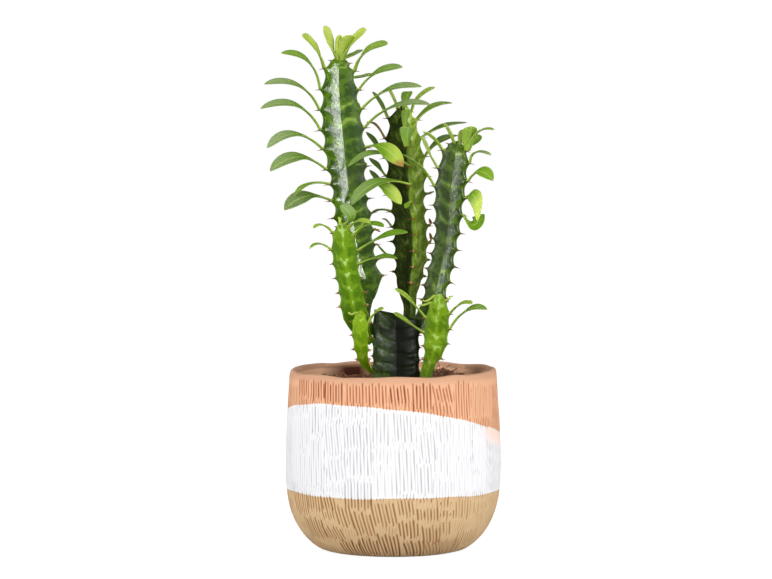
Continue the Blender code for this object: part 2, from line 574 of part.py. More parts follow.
def apply_boolean(thing, operation, operand=None, collection=None, solver="EXACT"):
    """Applies one Boolean modifier to an object's mesh and keeps its material."""
    modifier = thing.modifiers.new("join", "BOOLEAN")
    modifier.operation = operation
    modifier.solver = solver
    if collection:
        modifier.operand_type = "COLLECTION"
        modifier.collection = collection
    else:
        modifier.object = operand
    bpy.context.view_layer.update()
    evaluated = thing.evaluated_get(bpy.context.evaluated_depsgraph_get())
    mesh = bpy.data.meshes.new_from_object(evaluated)
    thing.modifiers.clear()
    thing.data = mesh
    keep_largest_body(thing)


def keep_largest_body(thing):
    """Drops scraps that a cut leaves loose, so that the node stays one body."""
    shape = bmesh.new()
    shape.from_mesh(thing.data)
    left = set(shape.verts)
    bodies = []
    while left:
        front = [left.pop()]
        body = set(front)
        while front:
            point = front.pop()
            for edge in point.link_edges:
                other = edge.other_vert(point)
                if other in left:
                    left.discard(other)
                    body.add(other)
                    front.append(other)
        bodies.append(body)
    bodies.sort(key=len)
    scraps = [point for body in bodies[:-1] for point in body]
    bmesh.ops.delete(shape, geom=scraps, context="VERTS")
    shape.to_mesh(thing.data)
    shape.free()


def build_stem(stem, colour, roughness):
    """One stem with its leaves and thorns joined to it by a single union."""
    material = make_material(stem.name + "_skin", colour, roughness)
    body = build_body(stem, material)
    extras = bpy.data.collections.new(stem.name + "_repeats")
    bpy.context.scene.collection.children.link(extras)
    repeats = [build_leaf(stem, leaf) for leaf in LEAVES.get(stem.name, [])]
    for rib in (LEFT, RIGHT, BACK):
        for tooth in range(1, stem.teeth):
            if (rib, tooth) not in BARE_TEETH.get(stem.name, []):
                repeats.append(build_thorns(stem, rib, tooth))
    for thing in repeats:
        bpy.context.scene.collection.objects.unlink(thing)
        extras.objects.link(thing)
    if repeats:
        apply_boolean(body, "UNION", collection=extras)
    for thing in repeats:
        bpy.data.objects.remove(thing, do_unlink=True)
    bpy.data.collections.remove(extras)
    return body


def cut_with(thing, stem):
    """Cuts a copy of a stem's body, a gap larger all round, out of an object."""
    cutter = build_body(stem, grow=GAP, name="cutter")
    cutter.hide_render = True
    cutter.display_type = "WIRE"
    apply_boolean(thing, "DIFFERENCE", operand=cutter)
    bpy.data.objects.remove(cutter, do_unlink=True)


def main():
    clear_scene()
    build_pot()
    soil = build_soil()
    build_stem(TRUNK, (0.05, 0.11, 0.05), 0.4)
    branches = [build_stem(COLUMN_LEFT, (0.16, 0.34, 0.05), 0.35),
                build_stem(COLUMN_MIDDLE, (0.09, 0.22, 0.04), 0.35),
                build_stem(COLUMN_RIGHT, (0.14, 0.30, 0.05), 0.35),
                build_stem(SHOOT_LEFT_UPPER, (0.24, 0.46, 0.06), 0.4),
                build_stem(SHOOT_LEFT_LOWER, (0.26, 0.50, 0.06), 0.4)]
    build_stem(SHOOT_RIGHT_LOWER, (0.26, 0.50, 0.07), 0.4)
    for branch in branches:
        cut_with(branch, TRUNK)
    for rooted in (TRUNK, SHOOT_RIGHT_LOWER):
        cut_with(soil, rooted)


main()
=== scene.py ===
"""The looks of a potted African milk tree: fine skins, leaves, thorns, combed pot and soil.

All ends up in the frame's metres. The tables below repeat the part's own: the pot's and the soil's are in
millimetres, and the plant's give places as seen from the front, in steps of 0.7 mm, with depths along +Y.
Colours are display values, 0 to 255.
"""

import math
import random
from collections import namedtuple

import bpy
import numpy as np
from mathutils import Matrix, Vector, noise


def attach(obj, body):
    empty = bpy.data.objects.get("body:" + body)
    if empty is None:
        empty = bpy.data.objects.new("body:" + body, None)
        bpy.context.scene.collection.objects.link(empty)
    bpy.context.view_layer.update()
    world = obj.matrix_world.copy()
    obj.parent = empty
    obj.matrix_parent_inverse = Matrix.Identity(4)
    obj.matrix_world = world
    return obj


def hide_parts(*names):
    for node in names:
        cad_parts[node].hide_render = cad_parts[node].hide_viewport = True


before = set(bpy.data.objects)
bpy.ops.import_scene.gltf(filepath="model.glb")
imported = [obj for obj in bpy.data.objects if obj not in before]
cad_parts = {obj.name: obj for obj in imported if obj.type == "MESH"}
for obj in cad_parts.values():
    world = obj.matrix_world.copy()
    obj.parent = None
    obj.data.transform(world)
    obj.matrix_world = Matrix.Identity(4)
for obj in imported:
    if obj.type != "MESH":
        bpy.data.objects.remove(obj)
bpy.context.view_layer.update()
BODY = "root"

MM = 0.001
GAP = 0.3
FULL_TURN = 2.0 * math.pi

RIM_HEIGHT = 127.0
POT_OUTSIDE = [(46.0, 0.0), (51.4, 1.4), (57.4, 5.2), (63.2, 11.0), (68.2, 18.6), (72.2, 28.0), (74.8, 41.0),
               (75.7, 60.0), (75.2, 82.0), (73.9, 106.0), (72.9, 122.5)]
POT_LIP = [(71.9, 126.2), (69.6, 127.0), (67.9, 125.2)]
POT_INSIDE = [(67.4, 116.0), (69.8, 78.0), (69.2, 48.0), (64.0, 26.0), (54.0, 12.0), (40.0, 7.5)]

# Waves of the pot's lip and wall: waves per turn, height and phase in degrees.
LIP_BAND = 34.0
LIP_WAVES = [(1, 0.42, 40.0), (2, 0.34, 115.0), (3, 0.30, 20.0), (5, 0.16, 70.0)]
LIP_RIPPLES = [(7, 0.26, 10.0), (9, 0.26, 200.0), (13, 0.2, 70.0), (19, 0.1, 30.0)]
WALL_WAVES = [(2, 0.45, 25.0), (3, 0.30, 80.0), (4, 0.18, 10.0)]

SOIL_LEVEL = 117.5
SOIL_MOUND = (8.5, 30.0, 20.0, 27.0)
SOIL_BUMP = 0.7
SOIL_SHOULDER = 8.0
SOIL_EDGE_DROP = 1.0

RIB_WALL = 1.7
FULL_REACH = 9.0
VALLEY_SHARE = 0.36
BAY_CENTRE = 0.45
CREST_DIP = 5.0
APEX_SEAT = 0.45

VIEW_STEP = 0.7
VIEW_AXIS = 393.0
VIEW_GROUND = 550.0
VIEW_POINT = (-4.9, -2765.0, 349.0)
RIB_EDGE = 0.5

LEFT, RIGHT, BACK = 0, 1, 2
APEX = -1

Stem = namedtuple("Stem", "name margins ribs stagger crown young upper_pitch upper_teeth lower_pitch teeth "
                          "depth thorn crests", defaults=[(0.0, 0.0, 0.0)])
Leaf = namedtuple("Leaf", "rib tooth middle_column middle_row tip_column tip_row width roll tone bloom "
                          "swing wither", defaults=[0.0, 0.0])

TRUNK = Stem(
    name="trunk",
    margins=[(376, 415, 313, 0), (372, 419, 322, 0), (371, 420.5, 335, 0), (371, 421, 357, 0),
             (371, 420.5, 390, 0), (376, 415, 430, 0), (384, 406, 456, 0)],
    ribs=(210.0, 330.0, 90.0), stagger=(0.0, 0.35, 0.6), crown=3.5, young=8.5, upper_pitch=8.5,
    upper_teeth=3, lower_pitch=8.5, teeth=5, depth=1.6, crests=(8.0, 3.5, 1.0), thorn=1.6)

COLUMN_LEFT = Stem(
    name="column_left",
    margins=[(336, 344, 56.5, 4), (330, 350, 60, 4), (324, 354.5, 66, 4), (320.5, 358, 76, 4),
             (318.5, 361.5, 95, 4), (318, 365, 115, 4), (320, 367.5, 137, 4), (322.5, 369, 158, 4),
             (327, 369.5, 178, 4), (329.5, 371, 200, 4), (332.5, 375.5, 222, 4), (337, 377.5, 243, 4),
             (343.5, 381, 265, 4), (350, 384, 280, 4), (353.5, 379, 289, 4), (355, 374.5, 297, 4),
             (357, 372, 306, 4), (359, 371, 318, 4), (366, 376, 328, 4), (375, 384, 335, 4.5),
             (384, 393, 341, 4.5)],
    ribs=(210.0, 330.0, 90.0), stagger=(0.0, 0.12, 0.5), crown=2.6, young=5.8, upper_pitch=13.7,
    upper_teeth=6, lower_pitch=11.2, teeth=14, depth=3.9, thorn=3.0)

COLUMN_MIDDLE = Stem(
    name="column_middle",
    margins=[(401, 408, 104.5, 10), (396, 412, 108.5, 10), (388, 417, 115, 10), (384.5, 420.5, 125, 10),
             (383, 423.5, 140, 10), (383, 427, 158, 10), (384, 428.5, 177, 10), (386, 428, 196, 10),
             (389, 428.5, 212, 10), (390, 430.5, 230, 10), (390, 431, 247, 10), (391, 429, 263, 10),
             (393.5, 424, 280, 10), (398.5, 418, 292, 10), (402.5, 417, 303, 9), (402.5, 416, 316, 8),
             (400, 412, 328, 6.5), (397, 408, 337, 5)],
    ribs=(155.0, 35.0, 275.0), stagger=(0.0, 0.12, 0.5), crown=2.8, young=6.6, upper_pitch=13.3,
    upper_teeth=5, lower_pitch=11.2, teeth=11, depth=3.7, thorn=3.0)

COLUMN_RIGHT = Stem(
    name="column_right",
    margins=[(454, 462, 141.5, 1), (448, 466, 144, 1), (442, 469.5, 149, 1), (438, 471, 158, 1),
             (435, 470, 172, 1), (432, 468.5, 188, 1), (431.5, 466, 204, 1), (432, 464, 220, 1),
             (431.5, 461.5, 236, 1), (429.5, 458.5, 252, 1), (426, 456, 266, 1), (422.5, 452, 281, 1),
             (420.5, 448, 295, 1), (418.5, 442, 307, 1), (414, 433, 319, 0), (407, 423, 328, -1),
             (401, 413, 336, -1)],
    ribs=(210.0, 330.0, 90.0), stagger=(0.0, 0.5, 0.25), crown=2.6, young=4.6, upper_pitch=12.6,
    upper_teeth=5, lower_pitch=11.3, teeth=11, depth=3.1, thorn=2.8)

SHOOT_LEFT_UPPER = Stem(
    name="shoot_left_upper",
    margins=[(338, 345, 222, -22), (334, 350, 225.5, -22), (331, 354, 231, -22), (329.5, 357.5, 240, -22),
             (329.5, 360, 250, -22), (331.5, 361, 264, -22), (334.5, 362.5, 278, -22), (337, 365.5, 291, -21),
             (339, 368.5, 305, -19), (344, 370, 316, -17), (350, 371, 325, -15), (357.5, 372, 333, -12),
             (367.5, 377.5, 341, -8)],
    ribs=(212.0, 332.0, 90.0), stagger=(0.0, 0.28, 0.5), crown=2.0, young=4.4, upper_pitch=11.4,
    upper_teeth=2, lower_pitch=9.6, teeth=7, depth=2.3, thorn=2.0)

SHOOT_LEFT_LOWER = Stem(
    name="shoot_left_lower",
    margins=[(358, 363, 310.5, -31), (354, 366.5, 313, -31), (351, 369.5, 319, -31), (350, 370.5, 328, -31),
             (351, 370.5, 340, -30), (353.5, 370.5, 351, -27), (358, 370.5, 360, -22), (364, 371.5, 367, -16),
             (370, 376, 372, -10)],
    ribs=(210.0, 330.0, 90.0), stagger=(0.0, 0.2, 0.5), crown=1.8, young=5.0, upper_pitch=9.2,
    upper_teeth=3, lower_pitch=8.4, teeth=5, depth=1.8, thorn=1.8)

SHOOT_RIGHT_LOWER = Stem(
    name="shoot_right_lower",
    margins=[(437, 443, 294, -20), (432, 446.5, 297, -20), (427.5, 450, 304, -20), (424.5, 451.5, 313, -20),
             (422.5, 451.5, 324, -20), (421.5, 450.5, 335, -20), (421.5, 448, 346, -20),
             (421.5, 442.5, 356, -19), (420.5, 437, 366, -18),
             (419.5, 433, 377, -18), (419, 430, 392, -18), (419, 430, 408, -18)],
    ribs=(210.0, 330.0, 90.0), stagger=(0.0, 0.6, 0.3), crown=2.0, young=4.4, upper_pitch=10.6,
    upper_teeth=3, lower_pitch=9.4, teeth=6, depth=2.1, thorn=2.0)

BARE_TEETH = {"trunk": [(LEFT, 1), (LEFT, 2), (LEFT, 4), (RIGHT, 4), (BACK, 4)]}

# Rib, tooth, column and row of the middle and of the tip, width, roll, tone and painted sheen; for some also
# how far the leaf swings to the side, and how withered it is.
LEAVES = {
    "column_left": [
        (LEFT, APEX, 330.2, 43, 324.5, 25, 8.5, 70, 1, 0.2),
        (LEFT, APEX, 338.2, 47, 339.8, 34, 5, 0, 0.9, 0, 80),
        (RIGHT, APEX, 345, 47, 350, 34.5, 10.5, 0, 0.86, 0, -30),
        (RIGHT, APEX, 352.5, 42, 366.5, 29, 9.5, 50, 0.9, 0),
        (BACK, APEX, 354, 54, 361.5, 49, 8, 0, 0.45, 0.4, -50),
        (LEFT, 1, 315.8, 48, 302, 34.5, 9, 50, 0.8, 0), (LEFT, 2, 308, 61, 281, 52.5, 9.5, 34, 0.6, 0.1),
        (LEFT, 3, 298, 85, 264, 83.5, 9.5, 30, 0.5, 0.6),
        (LEFT, 4, 295.5, 104.7, 260.5, 108, 10, 30, 0.5, 0.55),
        (LEFT, 5, 294.5, 133.8, 267, 147.5, 11, 26, 0.45, 0.7),
        (LEFT, 6, 297.5, 156.6, 270, 170.5, 11.5, 38, 0.3, 0.45),
        (LEFT, 7, 309.5, 183.3, 294.3, 195, 7, 8, 0.6, 0.1),
        (LEFT, 8, 306, 196, 284.3, 209.5, 12.5, 40, 0.12, 0.35),
        (RIGHT, 1, 366.3, 51, 388, 43.3, 9, 40, 0.65, 0.1),
        (RIGHT, 2, 377, 72, 402.8, 66.5, 9.5, 38, 0.45, 0.3),
        (RIGHT, 3, 389, 89, 421.8, 86, 9.5, 30, 0.45, 0.5),
        (RIGHT, 4, 394, 105.8, 430.7, 104, 9.5, 26, 0.45, 0.6, -5),
        (RIGHT, 5, 385, 148, 403.5, 166, 12, 55, 0.82, 0, -12, 0.32),
        (RIGHT, 6, 365, 162.5, 355, 164, 5, 20, 0.3, 0.2, -125),
        (RIGHT, 7, 385, 187, 401.5, 203.5, 11, 58, 0.86, 0, 28, 0.12),
        (RIGHT, 10, 377, 229.5, 380.3, 231, 3, 0, 0.3, 0, 0, 0.8),
        (BACK, 1, 361, 76.3, 371, 72.5, 8, 0, 0.45, 0.3, -50),
        (BACK, 2, 337.5, 84, 330, 88, 9, 0, 0.45, 0.3, 30),
        (BACK, 3, 350, 104, 358, 109, 9.5, 0, 0.45, 0.3, -30),
        (BACK, 4, 336, 123, 328, 131, 10, 0, 0.4, 0.3, 25),
        (BACK, 5, 352, 146, 359, 153, 10, 0, 0.4, 0.3, -30),
        (BACK, 6, 340, 167, 332.5, 176, 10, 0, 0.4, 0.3, 30),
        (BACK, 7, 351, 186, 357, 194, 9.5, 0, 0.4, 0.3, -25),
        (BACK, 8, 345, 205, 339.5, 214, 9, 0, 0.4, 0.3, 30),
    ],
    "column_middle": [
        (LEFT, 0, 392.3, 95.5, 387, 86.5, 5.5, 0, 0.75, 0.2),
        (BACK, APEX, 406, 98.5, 408.3, 90.5, 9, 0, 0.3, 0, 25),
        (RIGHT, 0, 419.5, 96, 435, 86.5, 6.5, 16, 0.75, 0.1, -20),
        (LEFT, 1, 380.5, 103, 372.5, 91, 7, 0, 0.25, 0),
        (LEFT, 2, 376, 124.5, 366.5, 121.5, 5, 0, 0.3, 0, 0, 1.3),
        (LEFT, 3, 376, 143.5, 366, 131, 6.5, 15, 0.15, 0), (LEFT, 4, 378, 166, 369, 157, 6.5, 15, 0.15, 0.1),
        (LEFT, 5, 378.5, 181, 369.5, 169, 6.5, 15, 0.2, 0.1), (LEFT, 6, 380.5, 209, 371, 213, 7, 0, 0.3, 0),
        (LEFT, 7, 386.5, 219.5, 382, 218, 3, 0, 0.2, 0), (LEFT, 9, 384.5, 252, 377, 243, 3.5, 0, 0.4, 0),
        (RIGHT, 1, 432, 106.5, 452, 102, 8, 10, 0.6, 0.2), (RIGHT, 2, 442, 126, 467, 121.7, 8, 10, 0.2, 0.25),
        (RIGHT, 3, 438.5, 141.3, 458, 134.5, 9, 14, 0.15, 0.25),
        (RIGHT, 5, 430.5, 192, 434, 190.5, 3.5, 0, 0.3, 0, 0, 0.8),
        (BACK, 1, 405.3, 118, 407, 109, 7, 0, 0.5, 0.1, 25),
        (BACK, 2, 407, 134.5, 408.5, 126, 12, 0, 0.45, 0.2, 25),
        (BACK, 3, 377, 152.3, 347.5, 166, 9, 22, 0.4, 0.35, -88),
        (BACK, 4, 377, 182.3, 351, 204.5, 12, 36, 0.35, 0.35, -85),
        (BACK, 5, 408, 203.3, 405, 207.5, 4.5, 30, 0.4, 0, -60),
        (RIGHT, 7, 431, 222, 429, 217.5, 3.5, 0, 0.9, 0, 0, 1.3),
        (RIGHT, 8, 431.5, 237, 429.5, 232, 3.5, 0, 0.9, 0, 0, 1.3),
    ],
    "column_right": [
        (LEFT, APEX, 449, 131, 443.5, 122.5, 5, 15, 0.85, 0.3, 20),
        (RIGHT, APEX, 461, 135, 464.5, 128.5, 5, 0, 0.85, 0.2, -35),
        (RIGHT, 0, 469, 138, 471.5, 125.5, 11, 0, 0.66, 0, -40),
        (RIGHT, 0, 478, 131.5, 494, 129, 6, 10, 0.66, 0),
        (BACK, 1, 472, 142, 477.5, 133.5, 10, 30, 0.5, 0.1, -60),
        (LEFT, 1, 433.5, 138, 423, 131, 6, 0, 0.7, 0), (LEFT, 2, 428, 150, 421, 135.5, 8, 45, 0.8, 0.4),
        (LEFT, 3, 421.5, 167.5, 403, 153.5, 8, 15, 0.5, 0.3),
        (RIGHT, 1, 476, 151.5, 491, 154.3, 5.5, 10, 0.45, 0.5),
        (RIGHT, 2, 480, 171, 493, 180, 10.5, 40, 0.6, 0),
        (RIGHT, 3, 475, 197, 477.5, 220.5, 11, 60, 0.95, 0, 0, 0.16),
        (RIGHT, 4, 473, 224.5, 484.5, 213, 12, 60, 0.55, 0, 20),
        (BACK, 2, 446, 168, 439.5, 166, 8.5, 0, 0.5, 0, 30),
        (BACK, 3, 453, 186, 458, 185, 9, 0, 0.45, 0, -20),
        (BACK, 4, 444.5, 205, 438.5, 206, 8.5, 0, 0.4, 0, 30),
    ],
    "shoot_left_upper": [
        (LEFT, APEX, 339.5, 219.5, 339, 216.3, 3, 0, 0.9, 0, 20),
        (RIGHT, 0, 359.5, 220, 370.5, 222.5, 6, 22, 0.75, 0),
        (RIGHT, APEX, 350, 215, 340, 204.5, 10.5, 45, 0.5, 0.5, -152),
        (LEFT, 1, 322.5, 224.3, 313.5, 227.5, 5, 10, 0.75, 0),
        (LEFT, 2, 319.5, 243, 309.5, 248, 5, 8, 0.66, 0), (RIGHT, 1, 368, 224, 384, 226, 7.5, 20, 0.5, 0, 5),
        (RIGHT, 2, 382.5, 236.3, 408, 231.5, 10, 26, 0.42, 0, 5),
        (RIGHT, 3, 378.5, 256.7, 397.5, 257.7, 8, 20, 0.32, 0.05, 5),
        (BACK, 1, 341, 231, 338, 231, 4, 0, 0.8, 0, 50),
    ],
    "shoot_left_lower": [
        (LEFT, 0, 350.8, 314, 348.5, 311.5, 3, 0, 0.9, 0),
        (RIGHT, 1, 375, 312.5, 383.5, 308.3, 6, 25, 0.7, 0),
    ],
    "shoot_right_lower": [
        (LEFT, 2, 411, 301, 394.5, 288, 9, 35, 0.7, 0),
        (LEFT, 3, 407.5, 321.5, 393.5, 312.3, 8.5, 32, 0.68, 0),
        (LEFT, 1, 423.5, 304.5, 418.5, 305, 4, 0, 1, 0), (LEFT, 0, 427, 300.3, 422.7, 299.5, 3, 0, 1, 0),
        (RIGHT, 0, 450, 296.5, 453.3, 296, 3, 0, 1, 0), (RIGHT, 2, 467, 310.3, 487.5, 309, 9.5, 22, 0.5, 0.2),
        (RIGHT, 1, 461, 303.5, 472.5, 303, 6.5, 20, 0.7, 0),
        (BACK, 1, 442, 302.5, 446, 302, 6, 0, 0.5, 0, -40),
    ],
}


def waves_at(turn, waves):
    """A sum of sine waves round the pot."""
    return sum(size * np.sin(count * turn + math.radians(phase)) for count, size, phase in waves)


def pot_wall(radius, height, turn, lip_waves=LIP_WAVES):
    """Radius and height of a place of the wall, with the slow unevenness of a wall formed by hand."""
    share = np.maximum(0.0, (height - RIM_HEIGHT + LIP_BAND) / LIP_BAND)
    swell = np.sin(math.pi * np.minimum(1.0, height / RIM_HEIGHT)) * 0.6 + 0.4 * share
    return radius + swell * waves_at(turn, WALL_WAVES), height + share * share * waves_at(turn, lip_waves)


def soil_height(x, y):
    """Height of the soil at a place: level at the wall, a low mound at the stems, and small lumps."""
    height, mound_x, mound_y, spread = SOIL_MOUND
    distance = math.hypot(x - mound_x, y - mound_y)
    lumps = math.sin(0.37 * x + 1.3) * math.sin(0.31 * y + 0.4) + 0.6 * math.sin(0.63 * x - 0.58 * y)
    return SOIL_LEVEL + height * math.exp(-(distance / spread) ** 2) + SOIL_BUMP * lumps


def seen_place(column, row, depth):
    """The place in millimetres, at a depth, that a front view from VIEW_POINT shows at a column and row."""
    x, y, z = VIEW_POINT
    scale = (depth - y) / -y
    right = (column - VIEW_AXIS) * VIEW_STEP
    up = (VIEW_GROUND - row) * VIEW_STEP
    return x + (right - x) * scale, z + (up - z) * scale


def seen_reach(start, ahead, column, row):
    """The way from a start to a seen place, in the upright plane through the start and ahead."""
    x, y, z = VIEW_POINT
    slope = ((column - VIEW_AXIS) * VIEW_STEP - x) / -y
    out = (slope * (start.y - y) - start.x + x) / (ahead.x - slope * ahead.y)
    climb = seen_place(column, row, start.y + ahead.y * out)[1] - start.z
    return ahead * out + Vector((0.0, 0.0, climb))


# Turns the two ends of a smooth span, and the slopes there, into the factors of its cube, square and so on.
SPAN_FACTORS = np.array([[2, -2, 1, 1], [-3, 3, -2, -1], [0, 0, 1, 0], [1, 0, 0, 0]])


class Curve:
    """A smooth curve through rows of numbers, the first few of which are places."""

    def __init__(self, rows, places):
        self.rows = np.array(rows, float)
        steps = np.linalg.norm(np.diff(self.rows[:, :places], axis=0), axis=1)
        self.arcs = np.concatenate(([0.0], np.cumsum(steps)))
        self.slopes = np.gradient(self.rows, self.arcs, axis=0)
        self.length = float(self.arcs[-1])

    def at(self, arc):
        """The row and the slope at a length along the curve."""
        index = min(int(np.searchsorted(self.arcs, arc, side="right")) - 1, len(self.arcs) - 2)
        ends, span = slice(index, index + 2), self.arcs[index + 1] - self.arcs[index]
        part = (arc - self.arcs[index]) / span
        factors = SPAN_FACTORS @ np.vstack((self.rows[ends], self.slopes[ends] * span))
        return (part ** 3, part ** 2, part, 1.0) @ factors, (3.0 * part ** 2, 2.0 * part, 1.0, 0.0) @ factors


class Course(Curve):
    """A smooth line from a stem's foot to its tip, which also carries the reach of its ribs."""

    def __init__(self, stem):
        spread = [math.cos(math.radians(stem.ribs[rib])) for rib in (LEFT, RIGHT)]
        rows = []
        for left, right, row, depth in reversed(stem.margins):
            (left, height), (right, _) = (seen_place(column, row, depth) for column in (left, right))
            reach = (right - left - 2.0 * RIB_EDGE) / (spread[1] - spread[0])
            rows.append((left + RIB_EDGE - reach * spread[0], depth, height, reach))
        super().__init__(rows, 3)

    def above(self, arc):
        """Centre, direction, the axes across and rib reach at a length along the stem, from its foot."""
        row, slope = self.at(min(max(arc, 0.0), self.length))
        along = Vector(slope[:3]).normalized()
        return Vector(row[:3]), along, *stem_axes(along), max(float(row[3]), 1.0)

    def below(self, drop):
        """The same at a distance below the tip."""
        return self.above(self.length - drop)


def stem_axes(along):
    """The two directions across a stem: to the right, and to the back."""
    right = (Vector((1.0, 0.0, 0.0)) - along * along.x).normalized()
    return right, along.cross(right)


def tooth_drop(stem, tooth):
    """Distance from the stem's tip down to a tooth, or to a place between two teeth."""
    drops = [stem.crown, stem.crown + stem.young]
    while len(drops) < stem.teeth + 2:
        drops.append(drops[-1] + (stem.upper_pitch if len(drops) <= stem.upper_teeth else stem.lower_pitch))
    return float(np.interp(tooth, range(len(drops)), drops))


def bay(part):
    """Depth of the bay between two teeth as a share: it falls from the upper tooth and ends at a shelf."""
    if part < BAY_CENTRE:
        return math.sin(0.5 * math.pi * part / BAY_CENTRE) ** 0.8
    return math.cos(0.5 * math.pi * (part - BAY_CENTRE) / (1.0 - BAY_CENTRE)) ** 0.6


def bay_at(stem, tooth):
    """The bay's depth at a tooth number, fading out on the bare foot below the lowest tooth."""
    last = stem.teeth - 1
    if tooth <= 0.0:
        return 0.0
    if tooth <= last:
        return bay(tooth % 1.0)
    return bay(min(tooth - last, BAY_CENTRE)) * max(0.0, 1.0 - (tooth - last))


def rib_direction(azimuth, right, back):
    return right * math.cos(azimuth) + back * math.sin(azimuth)


def tooth_seat(stem, rib, tooth):
    """Place of a tooth's tip, its outward direction and the stem's direction there."""
    drop = 0.8 * stem.crown if tooth == APEX else tooth_drop(stem, tooth + stem.stagger[rib])
    centre, along, right, back, reach = Course(stem).below(drop)
    outward = rib_direction(math.radians(stem.ribs[rib]), right, back)
    return centre + outward * (reach * (APEX_SEAT if tooth == APEX else 1.0)), outward, along


# Meshes

def add_piece(name, points, faces, material, attributes, nodes=()):
    """A smooth mesh piece from points in millimetres, with named values per point for its material."""
    mesh = bpy.data.meshes.new(name)
    mesh.from_pydata((np.asarray(points, float) * MM).tolist(), [], faces)
    mesh.shade_smooth()
    for key, values in attributes.items():
        layer = mesh.attributes.new(key, "FLOAT", "POINT")
        layer.data.foreach_set("value", np.asarray(values, np.float32))
    mesh.materials.append(material)
    mesh.validate()
    piece = bpy.data.objects.new(name, mesh)
    bpy.context.scene.collection.objects.link(piece)
    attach(piece, BODY)
    if nodes:
        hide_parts(*nodes)


def outward_faces(points, faces):
    """The faces of a closed shape, turned to look out of it."""
    volume = 0.0
    for face in faces:
        ax, ay, az = points[face[0]]
        for two, three in zip(face[1:], face[2:]):
            (bx, by, bz), (cx, cy, cz) = points[two], points[three]
            volume += ax * (by * cz - bz * cy) + ay * (bz * cx - bx * cz) + az * (bx * cy - by * cx)
    return faces if volume > 0.0 else [face[::-1] for face in faces]


class Gather:
    """Points, faces and per-point values of many small shapes that become one mesh."""

    def __init__(self, *keys):
        self.points, self.faces = [], []
        self.values = {key: [] for key in keys}

    def take(self, points, faces, **values):
        base = len(self.points)
        points = [tuple(point) for point in points]
        self.points.extend(points)
        self.faces.extend(tuple(base + index for index in face) for face in outward_faces(points, faces))
        for key, store in self.values.items():
            given = values.get(key, 0.0)
            store.extend(given if hasattr(given, "__len__") else [given] * len(points))


def neighbours(count):
    """The numbers of the points of a ring, each with the next one's."""
    return [(one, (one + 1) % count) for one in range(count)]


def tube_faces(rows, count):
    """Faces between closed rings of equal count, with a fan over both ends, whose points are the last two."""
    faces = [(row + one, row + two, row + count + two, row + count + one)
             for row in range(0, (rows - 1) * count, count) for one, two in neighbours(count)]
    first, last = rows * count, (rows - 1) * count
    for one, two in neighbours(count):
        faces += [(first, two, one), (first + 1, last + one, last + two)]
    return faces


def circle(count):
    """Cosine and sine of even steps round a full turn."""
    return [(math.cos(FULL_TURN * step / count), math.sin(FULL_TURN * step / count)) for step in range(count)]


# Materials

def shade(red, green, blue):
    """A display colour as linear light."""
    def linear(value):
        value /= 255.0
        return value / 12.92 if value <= 0.04045 else ((value + 0.055) / 1.055) ** 2.4
    return linear(red), linear(green), linear(blue), 1.0


class Signal:
    """A value that a material's nodes work out, with plain arithmetic."""

    def __init__(self, paint, socket):
        self.paint, self.socket = paint, socket

    def __add__(self, other):
        return self.paint.math("ADD", self, other)

    def __sub__(self, other):
        return self.paint.math("SUBTRACT", self, other)

    def __rsub__(self, other):
        return self.paint.math("SUBTRACT", other, self)

    def __mul__(self, other):
        return self.paint.math("MULTIPLY", self, other)

    def between(self, low, high):
        """Runs from 0 at low to 1 at high, smoothly; low may be the larger."""
        node = self.paint.add("ShaderNodeMapRange", interpolation_type="SMOOTHSTEP")
        self.paint.feed(node.inputs["Value"], self)
        if low > high:
            low, high = high, low
            node.inputs["To Min"].default_value, node.inputs["To Max"].default_value = 1.0, 0.0
        node.inputs["From Min"].default_value, node.inputs["From Max"].default_value = low, high
        return Signal(self.paint, node.outputs["Result"])


